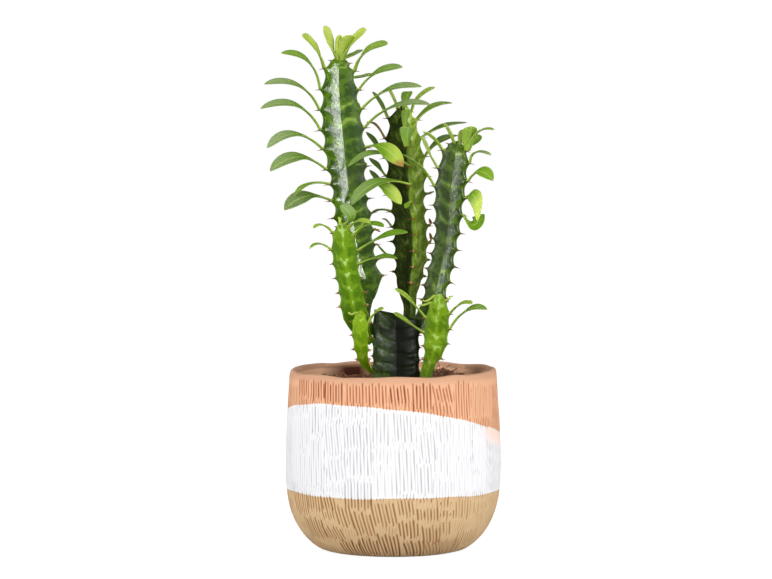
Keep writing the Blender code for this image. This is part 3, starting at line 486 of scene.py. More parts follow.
class Paint:
    """A short way to build a node material, coat over coat."""

    def __init__(self, name, roughness=0.5):
        self.material = bpy.data.materials.new(name)
        self.material.use_nodes = True
        self.tree = self.material.node_tree
        self.shader = self.tree.nodes["Principled BSDF"]
        self.shader.inputs["Roughness"].default_value = roughness
        self.place = self.add("ShaderNodeTexCoord").outputs["Object"]
        self.body = None

    def add(self, kind, **settings):
        node = self.tree.nodes.new(kind)
        for key, value in settings.items():
            setattr(node, key, value)
        return node

    def feed(self, socket, value):
        """Sets an input to a signal, a number, or a colour of three display values or four of light."""
        if isinstance(value, Signal):
            self.tree.links.new(value.socket, socket)
        else:
            socket.default_value = shade(*value) if isinstance(value, tuple) and len(value) == 3 else value

    def attributes(self, *names):
        """The values per point under these names."""
        return [Signal(self, self.add("ShaderNodeAttribute", attribute_name=name,
                                      attribute_type="GEOMETRY").outputs["Fac"]) for name in names]

    def math(self, operation, *values):
        node = self.add("ShaderNodeMath", operation=operation)
        for socket, value in zip(node.inputs, values):
            self.feed(socket, value)
        return Signal(self, node.outputs[0])

    def noise(self, scale, detail=3.0, rough=0.55):
        node = self.add("ShaderNodeTexNoise")
        for key, value in (("Scale", scale), ("Detail", detail), ("Roughness", rough)):
            node.inputs[key].default_value = value
        self.tree.links.new(self.place, node.inputs["Vector"])
        return Signal(self, node.outputs["Fac"])

    def spots(self, scale, size):
        """1 in small round spots, 0 between them."""
        node = self.add("ShaderNodeTexVoronoi")
        node.inputs["Scale"].default_value = scale
        self.tree.links.new(self.place, node.inputs["Vector"])
        return Signal(self, node.outputs["Distance"]).between(size, size * 0.5)

    def mix(self, amount, one, two):
        node = self.add("ShaderNodeMix", data_type="RGBA", blend_type="MIX")
        for socket, value in ((node.inputs["Factor"], amount), (node.inputs[6], one), (node.inputs[7], two)):
            self.feed(socket, value)
        return Signal(self, node.outputs[2])

    def coat(self, amount, colour):
        """Covers what is there by an amount of a colour."""
        self.body = self.mix(amount, self.body, colour)

    def finish(self, height, strength, distance):
        """Gives the shader the colour and a bump of this height, and returns the material."""
        self.feed(self.shader.inputs["Base Color"], self.body)
        bump = self.add("ShaderNodeBump")
        bump.inputs["Strength"].default_value = strength
        bump.inputs["Distance"].default_value = distance
        self.feed(bump.inputs["Height"], height)
        self.tree.links.new(bump.outputs["Normal"], self.shader.inputs["Normal"])
        return self.material


SKIN_WEAR = 0.28


def skin_material(name, dark, mid, pale, edge, mottle, wax):
    """Waxy skin: dark lenses under the teeth, pale feathered bands between them, painted shade and duller
    faces.
    """
    paint = Paint(name)
    feather, rim, scar, gloss, deep = paint.attributes("feather", "rim", "scar", "gloss", "deep")
    broad, fine = paint.noise(110.0, 3.0, 0.6), paint.noise(430.0, 4.0, 0.7)
    ragged = feather + (fine - 0.5) * (2.2 * mottle) + (broad - 0.5) * (1.8 * mottle)
    paint.body = paint.mix(ragged.between(-0.02, 0.2), dark, mid)
    paint.coat(ragged.between(0.4, 0.68), pale)
    paint.coat(rim.between(0.5, 1.0) * 0.75, edge)
    paint.coat(paint.spots(900.0, 0.16) * broad.between(0.5, 0.62) * 0.35, pale)
    # Painted shade: faces and valleys where shade falls are darkened towards near black.
    painted_shade_colour = [0.15 * value for value in shade(*dark)[:3]] + [1.0]
    paint.coat(deep * (fine + broad).between(0.4, 1.1), painted_shade_colour)
    # Darker bands: a real scar on the trunk's cut top and on the left column, painted shade at the feet of
    # two shoots.
    paint.coat(scar * fine.between(0.35, 0.6), (52, 62, 30))
    rub = (fine + broad * SKIN_WEAR).between(0.34 + 0.55 * SKIN_WEAR, 0.54 + 0.55 * SKIN_WEAR)
    worn = rub * SKIN_WEAR + (1.0 - SKIN_WEAR)
    paint.shader.inputs["Specular IOR Level"].default_value = wax
    paint.feed(paint.shader.inputs["Roughness"], 0.88 - gloss * worn * 0.82 + fine * 0.08)
    return paint.finish(fine + broad * 1.5, 0.16, 0.0009)


def leaf_material():
    """Leaf: tone runs from dark green to lime, wither dries it from the tip, a painted sheen greys its outer
    part.
    """
    paint = Paint("leaf")
    paint.shader.inputs["Specular IOR Level"].default_value = 0.2
    along, across, tone, wither, under, bloom = paint.attributes("along", "across", "tone", "wither", "under",
                                                                 "bloom")
    broad, fine = paint.noise(150.0), paint.noise(800.0, 3.0, 0.6)
    dark = paint.mix(broad, (54, 84, 18), (72, 104, 30))
    green = paint.mix(broad, (88, 132, 8), (110, 154, 22))
    lime = paint.mix(broad, (168, 192, 44), (210, 224, 112))
    paint.body = paint.mix(tone.between(0.0, 0.5), dark, green)
    paint.coat(tone.between(0.5, 1.0), lime)
    side = paint.math("ABSOLUTE", across)
    vein = paint.math("SINE", along * 82.0 - side * 13.0).between(0.55, 1.0) * 0.14
    # Painted sheen: the outer part of the blade is greyed to stand in for the light it catches.
    paint.coat(bloom * along.between(0.3, 0.78), (150, 163, 124))
    paint.coat(side.between(0.16, 0.03) * 0.4, (178, 200, 96))
    paint.coat(vein, (168, 194, 96))
    paint.coat(under * 0.2, (140, 166, 84))
    paint.coat(along.between(0.42, 0.06) * 0.75, (134, 162, 46))
    paint.coat(side.between(0.84, 1.0) * 0.5, (190, 208, 110))
    dried = (along * 0.8 + broad * 0.3 + wither).between(1.12, 1.26)
    paint.coat(dried * wither.between(0.0, 0.05), paint.mix(fine, (104, 76, 26), (190, 150, 80)))
    return paint.finish(fine + vein * -3.0, 0.12, 0.0003)


def thorn_material():
    """Thorns: dark red-brown foot, tan middle and pale tip; old shields are tan with a dark edge."""
    paint = Paint("thorn")
    reach, tan = paint.attributes("reach", "tan")
    fine = paint.noise(1500.0, 2.0)
    paint.body = paint.mix(fine, (92, 40, 22), (132, 66, 34))
    paint.coat(reach.between(0.35, 1.0), (196, 150, 110))
    paint.coat(tan * fine.between(0.3, 0.6), (206, 166, 112))
    return paint.finish(fine, 0.3, 0.0003)


def pot_material():
    """Earthenware: a terracotta top, a white slip dipped aslant, a tan foot, and painted shade in the comb
    grooves.
    """
    paint = Paint("earthenware", 0.82)
    first, second, groove, blush, inner, brim, stain = paint.attributes("first", "second", "groove", "blush",
                                                                        "inner", "brim", "stain")
    broad, fine, grain = paint.noise(26.0), paint.noise(420.0, 4.0, 0.65), paint.noise(1900.0, 2.0, 0.6)
    zones = []
    for low, high, coats in (
            ((214, 160, 122), (224, 174, 138),
             # The inside is painted brighter, as painted light; the lip's top darker, as painted shade.
             ((inner, (255, 203, 163)), (brim, (198, 150, 118)),
              # Dark marks inside the lip: partly soil stain, partly painted shadow of the plant.
              (stain * broad.between(0.0, 0.3), (80, 34, 8)),
              # The grooves are painted darker, here and in the two zones below, as painted shade in them.
              (groove.between(0.16, 0.6), (176, 108, 68)), (groove.between(0.62, 0.95), (106, 52, 26)))),
            ((219, 219, 221), (228, 228, 230),
             ((groove.between(0.22, 0.9), (164, 162, 165)), (blush, (236, 208, 196)))),
            ((196, 164, 122), (206, 176, 134),
             ((groove.between(0.18, 0.62), (150, 108, 62)), (groove.between(0.66, 0.95), (98, 64, 30))))):
        paint.body = paint.mix(broad, low, high)
        for amount, colour in coats:
            paint.coat(amount, colour)
        zones.append(paint.body)
    paint.body, slip, foot = zones
    wobble = (fine - 0.5) * 0.5
    paint.coat((first + wobble).between(-0.25, 0.25), slip)
    paint.coat((second + wobble).between(-0.25, 0.25), foot)
    paint.coat(grain.between(0.55, 0.8) * 0.1, (150, 110, 80))
    return paint.finish(fine + grain * 0.5, 0.3, 0.0005)


def soil_material(name, dark, mid, light):
    paint = Paint(name, 0.95)
    tint, = paint.attributes("tint")
    fine, broad = paint.noise(700.0, 4.0, 0.7), paint.noise(160.0)
    paint.body = paint.mix(fine.between(0.35, 0.65), dark, mid)
    paint.coat(tint * broad.between(0.3, 0.7), light)
    return paint.finish(fine + broad, 0.8, 0.001)


# Stems

# Where rows stand between one tooth and the next, and points between a rib's crest and the valley.
ROW_PARTS = [0.0, 0.04, 0.10, 0.18, 0.27, 0.36, 0.45, 0.54, 0.63, 0.71, 0.79, 0.86, 0.92, 0.965]
FLANK_PARTS = [0.14, 0.3, 0.47, 0.65, 0.83, 0.95]
FOOT_ROWS = 14
FOOT_SPAN = 4.0
# Points across a rib's crest: how far above its tip, and how far from its middle.
CREST_SHAPE = [(0.05, 0.0), (-0.25, 0.62), (-0.85, 0.98)]
CALM_CUT = 0.55
CALM_PART = 0.47
VALLEY_LEAD = 0.42
# A face half without looks of its own: how far it bulges, its gloss and how much painted shade darkens it.
PLAIN_HALF = (None, 0.12, 0.0)
BAND_RISE = 0.42
BAND_PHASE = 0.80
BAND_WANDER = 0.34
BAND_WIDTH = 0.17
SKIN_NOISE = 0.13
KNOB_NOISE = 0.17
MIDLINE_WIDTH = 0.24
YOUNG_LENGTH = 9.0
PLAIN_BANDS = 0.62
BANDS = {"column_left": 0.95, "column_middle": 0.75, "column_right": 0.85, "shoot_left_upper": 0.65,
         "shoot_right_lower": 0.7}
# The rounded tip's rings: share of the top ring's size, and share of the tip's height.
DOME = [(0.35, 0.98), (0.7, 0.8), (0.9, 0.45)]


def band_share(tooth, flank, place, face):
    """How far a point of a face lies in a pale band: 1 on it. The bands rise from the valley to the bays.

    They wander, and one is stronger than the next, by smooth noise over the stem.
    """
    spot = Vector((place.x * SKIN_NOISE, place.y * SKIN_NOISE, place.z * SKIN_NOISE + 7.0 * face))
    wander = BAND_WANDER * noise.noise(spot)
    strength = 0.62 + noise.noise(Vector((1.7 * face, 3.1, tooth * 0.83 + 5.0 * face)))
    phase = (tooth + BAND_RISE * flank - BAND_PHASE + wander) % 1.0
    away = min(phase, 1.0 - phase)
    return max(0.0, min(1.0, strength)) * math.exp(-(away / (BAND_WIDTH - 0.05 * flank)) ** 2)


def fine_rows(stem):
    """Tooth numbers of the rows from tip to foot, and the share of its length that a foot's row keeps."""
    last = stem.teeth - 1
    rows = [(tooth + part, None) for tooth in range(last) for part in ROW_PARTS]
    rows += [(last + part, None) for part in ROW_PARTS if part <= BAY_CENTRE]
    return rows + [(last + BAY_CENTRE + FOOT_SPAN * step / FOOT_ROWS, 1.0 - step / FOOT_ROWS)
                   for step in range(1, FOOT_ROWS + 1)]


def build_body(stem, material, relief, midline, valley_painted_shade, scar_and_shade_bands, halves):
    """A stem's ribbed skin, with the bulge, the gloss and the painted shade of each half of its faces."""
    course = Course(stem)
    order = sorted(range(3), key=lambda rib: stem.ribs[rib] % 360.0)
    tip, tip_along = course.below(0.0)[:2]
    lowest = stem.teeth - 1 + BAY_CENTRE
    cut_top = any(stem.crests)
    bands = BANDS.get(stem.name, PLAIN_BANDS)

    def across_at(azimuth, stagger, crest, tooth, keep):
        """Centre, outward direction, stem's direction, reach, lift of a cut top, and drop from the tip."""
        drop = tooth_drop(stem, min(tooth, lowest) + stagger)
        arc = (course.length - drop) * (1.0 if keep is None else keep)
        centre, along, right, back, reach = course.above(arc)
        lift = tip_along * (crest * max(0.0, 1.0 - drop / (3.0 * stem.lower_pitch)))
        return centre, rib_direction(azimuth, right, back), along, reach, lift, drop

    def crest_point(section, cut, inset, shift):
        centre, outward, along, reach, lift, _ = section
        full = min(1.0, reach / FULL_REACH)
        point = centre + outward * (reach - min(stem.depth, 0.3 * reach) * cut + inset * full)
        return point + along.cross(outward) * (shift * (RIB_WALL * (0.62 + 0.38 * cut) * full)) + lift

    rings, looks = [], []
    for tooth, keep in fine_rows(stem):
        ring = []
        for face, rib in enumerate(order):
            after = order[(face + 1) % 3]
            azimuth = math.radians(stem.ribs[rib] % 360.0)
            turn = math.radians((stem.ribs[after] - stem.ribs[rib]) % 360.0)
            low_crest = 0.5 * (stem.crests[rib] + stem.crests[after]) - CREST_DIP * cut_top
            stagger = 0.5 * (stem.stagger[rib] + stem.stagger[after])
            centre, out_mid, along, reach, lift, drop = across_at(azimuth + 0.5 * turn, stagger, low_crest,
                                                                  tooth, keep)
            valley = centre + out_mid * (VALLEY_SHARE * reach) + lift
            full = min(1.0, course.below(drop)[4] / FULL_REACH)
            for edge, base, side in ((rib, azimuth, 1.0), (after, azimuth + turn, -1.0)):
                bulge, gloss, deep = halves.get((face, side), PLAIN_HALF)
                section = across_at(base, stem.stagger[edge], stem.crests[edge], tooth, keep)
                crest = [crest_point(section, bay_at(stem, tooth), inset, shift * side)
                         for inset, shift in CREST_SHAPE]
                calm = crest_point(section, CALM_CUT, CREST_SHAPE[-1][0], CREST_SHAPE[-1][1] * side)
                distance = (calm - valley).length
                bend = valley - along.cross(out_mid) * (side * distance * VALLEY_LEAD)
                half = [(point, 1.0, 0.0, 1.0 - 0.3 * number, section[-1], gloss, deep)
                        for number, point in enumerate(crest)]
                for part in FLANK_PARTS:
                    inner = 1.0 - part
                    shoulder = crest[-1].lerp(calm, min(1.0, part / CALM_PART))
                    if bulge is None:
                        point = shoulder * inner ** 2 + bend * (2.0 * part * inner) + valley * part ** 2
                    else:
                        point = shoulder.lerp(valley, part)
                        point += out_mid * (4.0 * bulge * distance * part * inner)
                    band = band_share(tooth, inner, point, 2.0 * face + side) if keep is None else 0.0
                    swell = (1.0 - 0.9 * gloss) * math.sin(math.pi * inner ** 0.8) * (0.25 - band)
                    knob = (1.0 - 0.8 * gloss) * noise.noise(point * KNOB_NOISE) * math.sin(math.pi * inner)
                    point = point + out_mid * (relief * full * (swell + 0.9 * knob))
                    half.append((point, inner, band, 0.45 * inner ** 4, drop, gloss, deep))
                if side > 0.0:
                    band = band_share(tooth, 0.0, valley, 2.0 * face) if keep is None else 0.0
                    ring += half + [(valley, 0.0, band, 0.0, drop, gloss, deep)]
                else:
                    ring += half[:0:-1]
        rings.append([entry[0] for entry in ring])
        for _, inner, band, rim, drop, gloss, deep in ring:
            near = math.exp(-(inner / MIDLINE_WIDTH) ** 2)
            young = 0.0 if cut_top else 0.5 * math.exp(-(drop / YOUNG_LENGTH) ** 2)
            strength = bands * (1.0 - 0.6 * max(0.0, gloss - 0.5)) * (1.0 - 0.4 * inner)
            shine = (0.6 + 0.16 * cut_top) * min(1.0, max(0.0, inner - 0.6 + 0.2 * cut_top) / 0.25)
            # The last value is painted shade: the half's own darkening, and more in the valley.
            looks.append((min(1.0, strength * band + midline * near + young), rim,
                          sum(share * math.exp(-((drop - at) / width) ** 2) for at, width, share in scar_and_shade_bands),
                          max(gloss, shine), min(1.0, deep + valley_painted_shade * near)))
    if not cut_top:
        rings = [[tip.lerp(point, share) + tip_along * (0.55 * stem.crown * (rise - share))
                  for point in rings[0]] for share, rise in DOME] + rings
        looks = looks[:len(rings[0])] * len(DOME) + looks
    points = [point for ring in rings for point in ring]
    points += [tip + tip_along * (0.1 if cut_top else 0.5 * stem.crown), course.above(0.0)[0]]
    looks += [looks[0], looks[-1]]
    points = [tuple(point) for point in points]
    faces = outward_faces(points, tube_faces(len(rings), len(rings[0])))
    values = dict(zip(("feather", "rim", "scar", "gloss", "deep"), zip(*looks)))
    add_piece(stem.name + "_body", points, faces, material, values, [stem.name])


# Thorns

THORN_SPREAD = 38.0
THORN_RADIUS = 0.34
THORN_POINT = 0.03
THORN_ROWS = 6
THORN_SIDES = 7
SHIELD_SIDES = 10
SHIELD_ANGLES = [math.pi * (0.08 + 0.84 * step / 4.0) for step in range(5)]


def add_thorns(gather, stem, rib, tooth, draw):
    """A pair of curved, tapering thorns on one small swollen shield."""
    seat, outward, along = tooth_seat(stem, rib, tooth)
    across = along.cross(outward)
    old = min(1.0, max(0.0, (tooth - 0.45 * stem.teeth) / (0.4 * stem.teeth)))
    young = 0.5 if tooth == 0 else 1.0
    length = stem.thorn * draw.uniform(1.15, 1.5) * young
    shield = (0.85 + 0.75 * old) * young
    points, tan = [], []
    for angle in SHIELD_ANGLES:
        centre = seat - outward * (0.35 + 0.75 * math.cos(angle))
        for right, up in circle(SHIELD_SIDES):
            points.append(centre + (across * right + along * (0.62 * up)) * (shield * math.sin(angle)))
            tan.append(0.0 if math.cos(angle) > -0.2 else old)
    points += [seat - outward * 1.1, seat + outward * 0.4]
    gather.take(points, tube_faces(len(SHIELD_ANGLES), SHIELD_SIDES), tan=tan + [0.0, old])
    for side in (1.0, -1.0):
        spread = math.radians(THORN_SPREAD + draw.uniform(-7.0, 9.0))
        heading = outward * math.cos(spread) + across * (side * math.sin(spread))
        heading = (heading + along * draw.uniform(-0.16, 0.06)).normalized()
        droop = along * draw.uniform(-0.5, 0.2)
        wing = heading.cross(along).normalized()
        lift = wing.cross(heading)
        start = seat - outward * 0.2 + across * (side * 0.25 * shield)
        points, reach = [], []
        for row in range(THORN_ROWS):
            part = row / (THORN_ROWS - 1)
            radius = THORN_RADIUS * (1.0 - part) ** 0.8 + THORN_POINT
            for right, up in circle(THORN_SIDES):
                points.append(start + heading * (length * part) + droop * part * part
                              + wing * (radius * right) + lift * (radius * up))
                reach.append(part)
        points += [start - heading * 0.2, start + heading * (length + 0.15) + droop]
        gather.take(points, tube_faces(THORN_ROWS, THORN_SIDES), reach=reach + [0.0, 1.0])


# Leaves

LEAF_FOLD = 0.16
LEAF_FOOT = 0.204
LEAF_ROOT = 2.4
LEAF_SEAT = 0.7
LEAF_SINK = 0.5
BACKWARD_SWING = 100.0
BACKWARD_SINK = 2.8
FOOT_THICKNESS = 1.9
BLADE_THICKNESS = 0.9
TIP_WIDTH = 0.16
# Shares of a leaf's length: where it is thin, where it has its full roll, and where its foot ends.
THIN_PART = 0.6
ROLL_PART = 0.55
FOOT_PART = 0.12
WIDTH_BLUR = 0.035
# How much closer the rows stand at both ends of a leaf.
ROW_EASE = 0.35
BLADE_ROWS = 26
BLADE_SIDES = [-1.0, -0.86, -0.6, -0.3, 0.0, 0.3, 0.6, 0.86, 1.0]

# Places along a leaf, and its width there as a share of its widest.
LEAF_SHAPES = {
    "blade": ([0, 0.12, 0.25, 0.4, 0.55, 0.66, 0.78, 0.88, 0.95, 1.0],
              [0.25, 0.3, 0.42, 0.66, 0.9, 1.0, 0.92, 0.68, 0.42, 0.0]),
    "strap": ([0, 0.15, 0.3, 0.5, 0.8, 0.92, 1.0], [0.48, 0.56, 0.76, 0.95, 1.0, 0.84, 0.2]),
    "wedge": ([0, 0.3, 0.6, 0.85, 0.95, 1.0], [0.36, 0.58, 0.84, 1.0, 0.95, 0.4]),
    "early": ([0, 0.1, 0.25, 0.45, 0.65, 0.85, 0.95, 1.0], [0.25, 0.5, 0.94, 1.0, 0.8, 0.46, 0.3, 0.0]),
}


def blade_width(stem, leaf, part):
    """Width of a leaf at a part of its length, as a share of its widest."""
    shape = "strap" if leaf.tooth in (APEX, 0, 1) else "blade"
    if stem.name == "column_right" and leaf.rib == RIGHT and leaf.tooth == 3:
        shape = "early"
    if stem.name == "column_middle" and leaf.rib == BACK and leaf.tooth in (APEX, 1, 2):
        shape = "wedge"
    return float(np.mean(np.interp([part - WIDTH_BLUR, part, part + WIDTH_BLUR], *LEAF_SHAPES[shape])))


def add_leaf(gather, stem, leaf, draw):
    """A thin folded blade on a bent midrib with a fleshy foot."""
    seat, outward, along = tooth_seat(stem, leaf.rib, leaf.tooth)
    azimuth = math.radians(stem.ribs[leaf.rib] + leaf.swing)
    ahead = Vector((math.cos(azimuth), math.sin(azimuth), 0.0))
    flat = Vector((0.0, 0.0, 1.0)).cross(ahead)
    roll = math.radians(leaf.roll) * (1.0 if flat.y >= 0.0 else -1.0)
    upright = leaf.tooth == APEX or abs(leaf.swing) > BACKWARD_SWING
    sunk = BACKWARD_SINK if upright and leaf.tooth != APEX else LEAF_SINK
    start = seat - outward * sunk + along * LEAF_SEAT
    end = seen_reach(start, ahead, leaf.tip_column, leaf.tip_row)
    bend = seen_reach(start, ahead, leaf.middle_column, leaf.middle_row) * 2.0 - end * 0.5
    inward, root_flat = along, flat
    if not upright:
        inward = rib_direction(math.radians(stem.ribs[leaf.rib] + leaf.swing / 3.0), *stem_axes(along))
        root_flat = along.cross(inward)
    ripple, phase = draw.uniform(0.02, 0.06), draw.uniform(0.0, 6.3)
    points, looks = [], []
    for row in range(-1, BLADE_ROWS):
        part = max(0.0, row / (BLADE_ROWS - 1))
        part = ROW_EASE * 0.5 * (1.0 - math.cos(math.pi * part)) + (1.0 - ROW_EASE) * part
        if row < 0:
            place, heading, across = start - inward * LEAF_ROOT, inward, root_flat
            width, turn = LEAF_FOOT, 0.0
        else:
            place = start + bend * (2.0 * part * (1.0 - part)) + end * (part * part)
            heading = (bend * (1.0 - 2.0 * part) + end * part).normalized()
            width = blade_width(stem, leaf, part) if part < 0.995 else TIP_WIDTH / leaf.width
            turn = roll * min(1.0, part / ROLL_PART)
            blend = min(1.0, part / FOOT_PART)
            across = (flat * (0.5 + 0.5 * blend) + root_flat * (0.5 - 0.5 * blend)).normalized()
        normal = heading.cross(across).normalized()
        side = across * math.cos(turn) + normal * math.sin(turn)
        normal = normal * math.cos(turn) - across * math.sin(turn)
        half = max(0.5 * leaf.width * width, 0.05)
        thick = 0.5 * (FOOT_THICKNESS + (BLADE_THICKNESS - FOOT_THICKNESS) * min(1.0, part / THIN_PART))
        half = max(half, 0.95 * (1.0 - part) ** 1.5)
        thick = min(thick, 1.1 * half)
        fold = LEAF_FOLD * (1.25 + 0.5 * math.sin(math.pi * part))
        for under, sides, bulge in ((0.0, BLADE_SIDES, 0.85), (1.0, BLADE_SIDES[-2:0:-1], -1.0)):
            for share in sides:
                wave = ripple * math.sin(9.0 * part + phase + (1.5 if share > 0 else 0.0))
                rise = (fold + wave) * half * share * share
                rise += thick * math.sqrt(max(0.0, 1.0 - share * share)) * bulge
                points.append(place + side * (half * share) + normal * rise)
                fade = min(1.0, max(0.0, 1.5 * part - 0.25 + 0.3 * share)) if leaf.wither else 1.0
                looks.append((part, share, under, 0.4 + (leaf.tone - 0.4) * fade))
    points += [start - inward * (LEAF_ROOT + 0.1), start + end + (end - bend).normalized() * 0.2]
    looks += [looks[0], looks[-1]]
    gather.take(points, tube_faces(BLADE_ROWS + 1, 2 * len(BLADE_SIDES) - 2), wither=leaf.wither,
                bloom=leaf.bloom, **dict(zip(("along", "across", "under", "tone"), zip(*looks))))


# Pot

POT_COLUMNS = 1092
WALL_ROWS = 66
LIP_ROWS = 12
# From this row of the lip on, and with a column for so many of the fine ones, the wall is the inside.
BRIM_ROWS = 6
FAN = 6
NO_ZONE = -20.0
FOOT_ZONE = {"first": 80.0, "second": 40.0}
# The coarse rings beside the wall's fine ones, inside and underneath: radius and height.
INNER_RING = (67.5, 112.0)
BASE_RING = (40.0, 0.0)
WALL_INSET = 0.25
KNEADING = 0.6
COMB_PITCH = 2.5
GROOVE_DEPTH = 0.7
# How far a stroke's single grooves end apart, over how much each fades out, and how they vary.
GROOVE_ENDS = 1.2
GROOVE_FADE = 2.2
GROOVE_SHIFT = 2.399
STROKE_SHIFT = 1.7
# Lines of the all-over scoring round the pot, its upper end, and the height under which it is fainter.
SCORE_LINES = 204.0
SCORE_TOP = 120.0
SCORE_FOOT = 43.0
DIP_UPPER = (90.6, -8.4, -14.6)
DIP_LOWER = 43.2
# The blush on the slip: turn, half width and soft edge of it, and how far it reaches down.
BLUSH_TURN = 0.982 * FULL_TURN
BLUSH_HALF = 0.5
BLUSH_EDGE = 0.2
BLUSH_REACH = 8.0
# Dark marks inside the lip, partly soil stain and partly painted shadow of the plant: turn and half width in
# degrees, and strength.
STAINS_AND_SHADOWS = [(116.0, 19.0, 1.0), (27.0, 11.0, 0.6)]
STAIN_SHADOW_TOP = 126.4
STAIN_SHADOW_EDGE = 2.6
STAIN_SHADOW_RADIUS = 70.5
# Painted shade on the lip's top: the height where it starts, and over how much it grows to full.
BRIM_START = 120.0
BRIM_EDGE = 4.0
# Bottom and top of the bands of seeded strokes round the back, the turns between which they run, and the
# radius of the pot there and at its foot.
BACK_BANDS = [(99.0, 119.0), (78.0, 101.0), (58.0, 80.0), (41.0, 61.0), (22.0, 44.0), (5.0, 25.0)]
BACK_START, BACK_END = math.radians(-6.0), math.radians(184.0)
BACK_RADIUS, BACK_FOOT_RADIUS = 74.0, 63.0
BACK_FOOT_TOP = 20.0

# Comb strokes on the front: first and last groove's column, top and bottom row, lean in columns, depth.
STROKES = [
    (292, 299, 384, 405, 0, 0.35), (299, 308, 376, 398, 0, 0.9), (299, 309, 399, 412, 1, 0.7),
    (311, 323.5, 379, 401, 0, 1.0), (325, 341.5, 380, 405, 0, 0.95), (347, 362.5, 382, 406, 0.5, 0.8),
    (366, 386, 382, 408, 1, 0.8), (391, 408.5, 384, 406, 2.5, 1.0), (413.5, 431, 382, 412, 1, 0.95),
    (435, 451, 384, 404, 4, 0.85), (434, 451, 402, 417, 2, 0.75), (457, 470, 380, 421, 1.5, 0.6),
    (474, 483, 381, 420, 0, 0.3), (487, 492, 384, 418, 0, 0.2), (401, 409.5, 404, 412, 0, 0.5),
    (312, 318, 404, 436, 0, 0.8), (326, 341, 404, 418, 0, 0.8), (348.5, 362, 406, 420, 0, 0.7),
    (373, 388, 411, 447, 0, 0.7), (394.5, 411, 411, 444, 2, 0.8), (416, 431, 413, 427, 0, 0.6),
    (422, 435, 429, 462, 3, 0.7), (437, 451, 417, 442, 1.5, 0.6), (454, 471, 421, 458, 0, 0.35),
    (476, 486, 428, 470, 0, 0.2), (300, 309, 414, 449, 0, 0.45), (326, 340, 421, 457, 3, 0.7),
    (344, 370, 424, 449, 1.5, 0.85), (311, 321, 437, 486, 1, 0.6), (292, 298, 414, 480, 0, 0.25),
    (300, 309, 452, 488, 0, 0.45), (329, 345, 457, 483, 2.5, 0.7), (350, 371, 449, 479, 1, 0.75),
    (373, 391, 449, 466, 0, 0.6), (396, 415, 448, 495, 2, 0.7), (418, 432, 463, 498, 1.5, 0.75),
    (435, 451, 446, 476, 1, 0.5), (455, 468, 460, 496, 0, 0.35), (471, 485, 472, 492, 0, 0.25),
    (327, 342, 484, 497, 1, 0.6), (345, 371, 480, 512, 1, 0.8), (374, 392, 470, 500, 1, 0.5),
    (434, 452, 479, 500, 0, 0.5), (296, 307, 490, 517, 4, 0.7), (308.5, 321, 494, 513, 2.5, 0.8),
    (322, 334, 496, 512, 4, 1.0), (323, 333, 509, 523, 4, 0.7), (337, 351, 506, 530, 7, 0.75),
    (354, 372, 512, 539, 8, 0.75), (373, 395, 502, 528, 6, 0.75), (399, 413, 499, 518, 3, 0.8),
    (417, 432, 499, 505, 0, 0.7), (418, 438, 508, 523, 1, 0.8), (438, 452, 499, 509, 0, 0.7),
    (441, 454, 510, 520, 0, 0.8), (400, 418, 521, 541, 2, 0.9), (424, 440, 527, 546, 0.5, 0.9),
    (441, 450, 520, 538, 0, 0.6), (457, 471, 498, 521, -1, 0.5), (473, 486, 500, 514, -1, 0.35),
    (308, 323, 517, 541, 10, 0.8), (326, 342, 526, 543, 10, 0.85), (343, 360, 541, 557, 12, 1.0),
    (362, 378, 539, 558, 9, 1.0), (381, 399, 535, 558, 6, 1.0), (406, 424, 541, 558, 1, 1.0),
    (427, 440, 542, 557, -2, 0.85), (441, 457, 539, 556, -7, 0.7), (458, 474, 530, 548, -9, 0.5),
]


def flow(rows, count):
    """A smooth curve through rows, sampled at even lengths."""
    curve = Curve(rows, 2)
    return np.array([curve.at(arc)[0] for arc in np.linspace(0.0, curve.length, count)])


def seen_on_pot(column, row):
    """Turn, height and radius, on the pot's outside, of what the front view shows at a column and row."""
    height, turn = (VIEW_GROUND - row) * VIEW_STEP, -0.5 * math.pi
    radii, heights = np.array(POT_OUTSIDE, float).T
    for _ in range(12):
        radius = float(np.interp(height, heights, radii))
        right, height = seen_place(column, row, radius * math.sin(turn))
        turn = -math.acos(max(-0.999, min(0.999, right / radius)))
        height = max(0.4, height)
    return turn, height, radius


def comb_strokes():
    """Every stroke as turn and height of its middle, half sizes, lean, groove count and depth."""
    strokes = []
    for first, last, top, bottom, lean, depth in STROKES:
        row, column = 0.5 * (top + bottom), 0.5 * (first + last)
        one, _, radius = seen_on_pot(first, row)
        two = seen_on_pot(last, row)[0]
        high, low = seen_on_pot(column - 0.5 * lean, top), seen_on_pot(column + 0.5 * lean, bottom)
        count = max(2, round(abs(two - one) * radius / COMB_PITCH))
        strokes.append((0.5 * (one + two), 0.5 * (high[1] + low[1]), 0.5 * abs(two - one),
                        0.5 * (high[1] - low[1]), (low[0] - high[0]) / (low[1] - high[1]), count, depth))
    draw = random.Random(8)
    for low, high in BACK_BANDS:
        turn = BACK_START
        while turn < BACK_END:
            count = draw.randint(4, 7)
            half = 0.5 * count * COMB_PITCH / (BACK_RADIUS if low > BACK_FOOT_TOP else BACK_FOOT_RADIUS)
            top, bottom = high + draw.uniform(-4.0, 2.0), low + draw.uniform(-3.0, 4.0)
            strokes.append((turn + half, 0.5 * (top + bottom), half, 0.5 * (top - bottom),
                            draw.uniform(-0.0012, 0.0012), count, draw.uniform(0.45, 1.0)))
            turn += 2.0 * half + draw.uniform(0.02, 0.07)
    return strokes


def turn_between(one, two):
    """How far one turn lies from another, the short way round."""
    return (one - two + math.pi) % FULL_TURN - math.pi


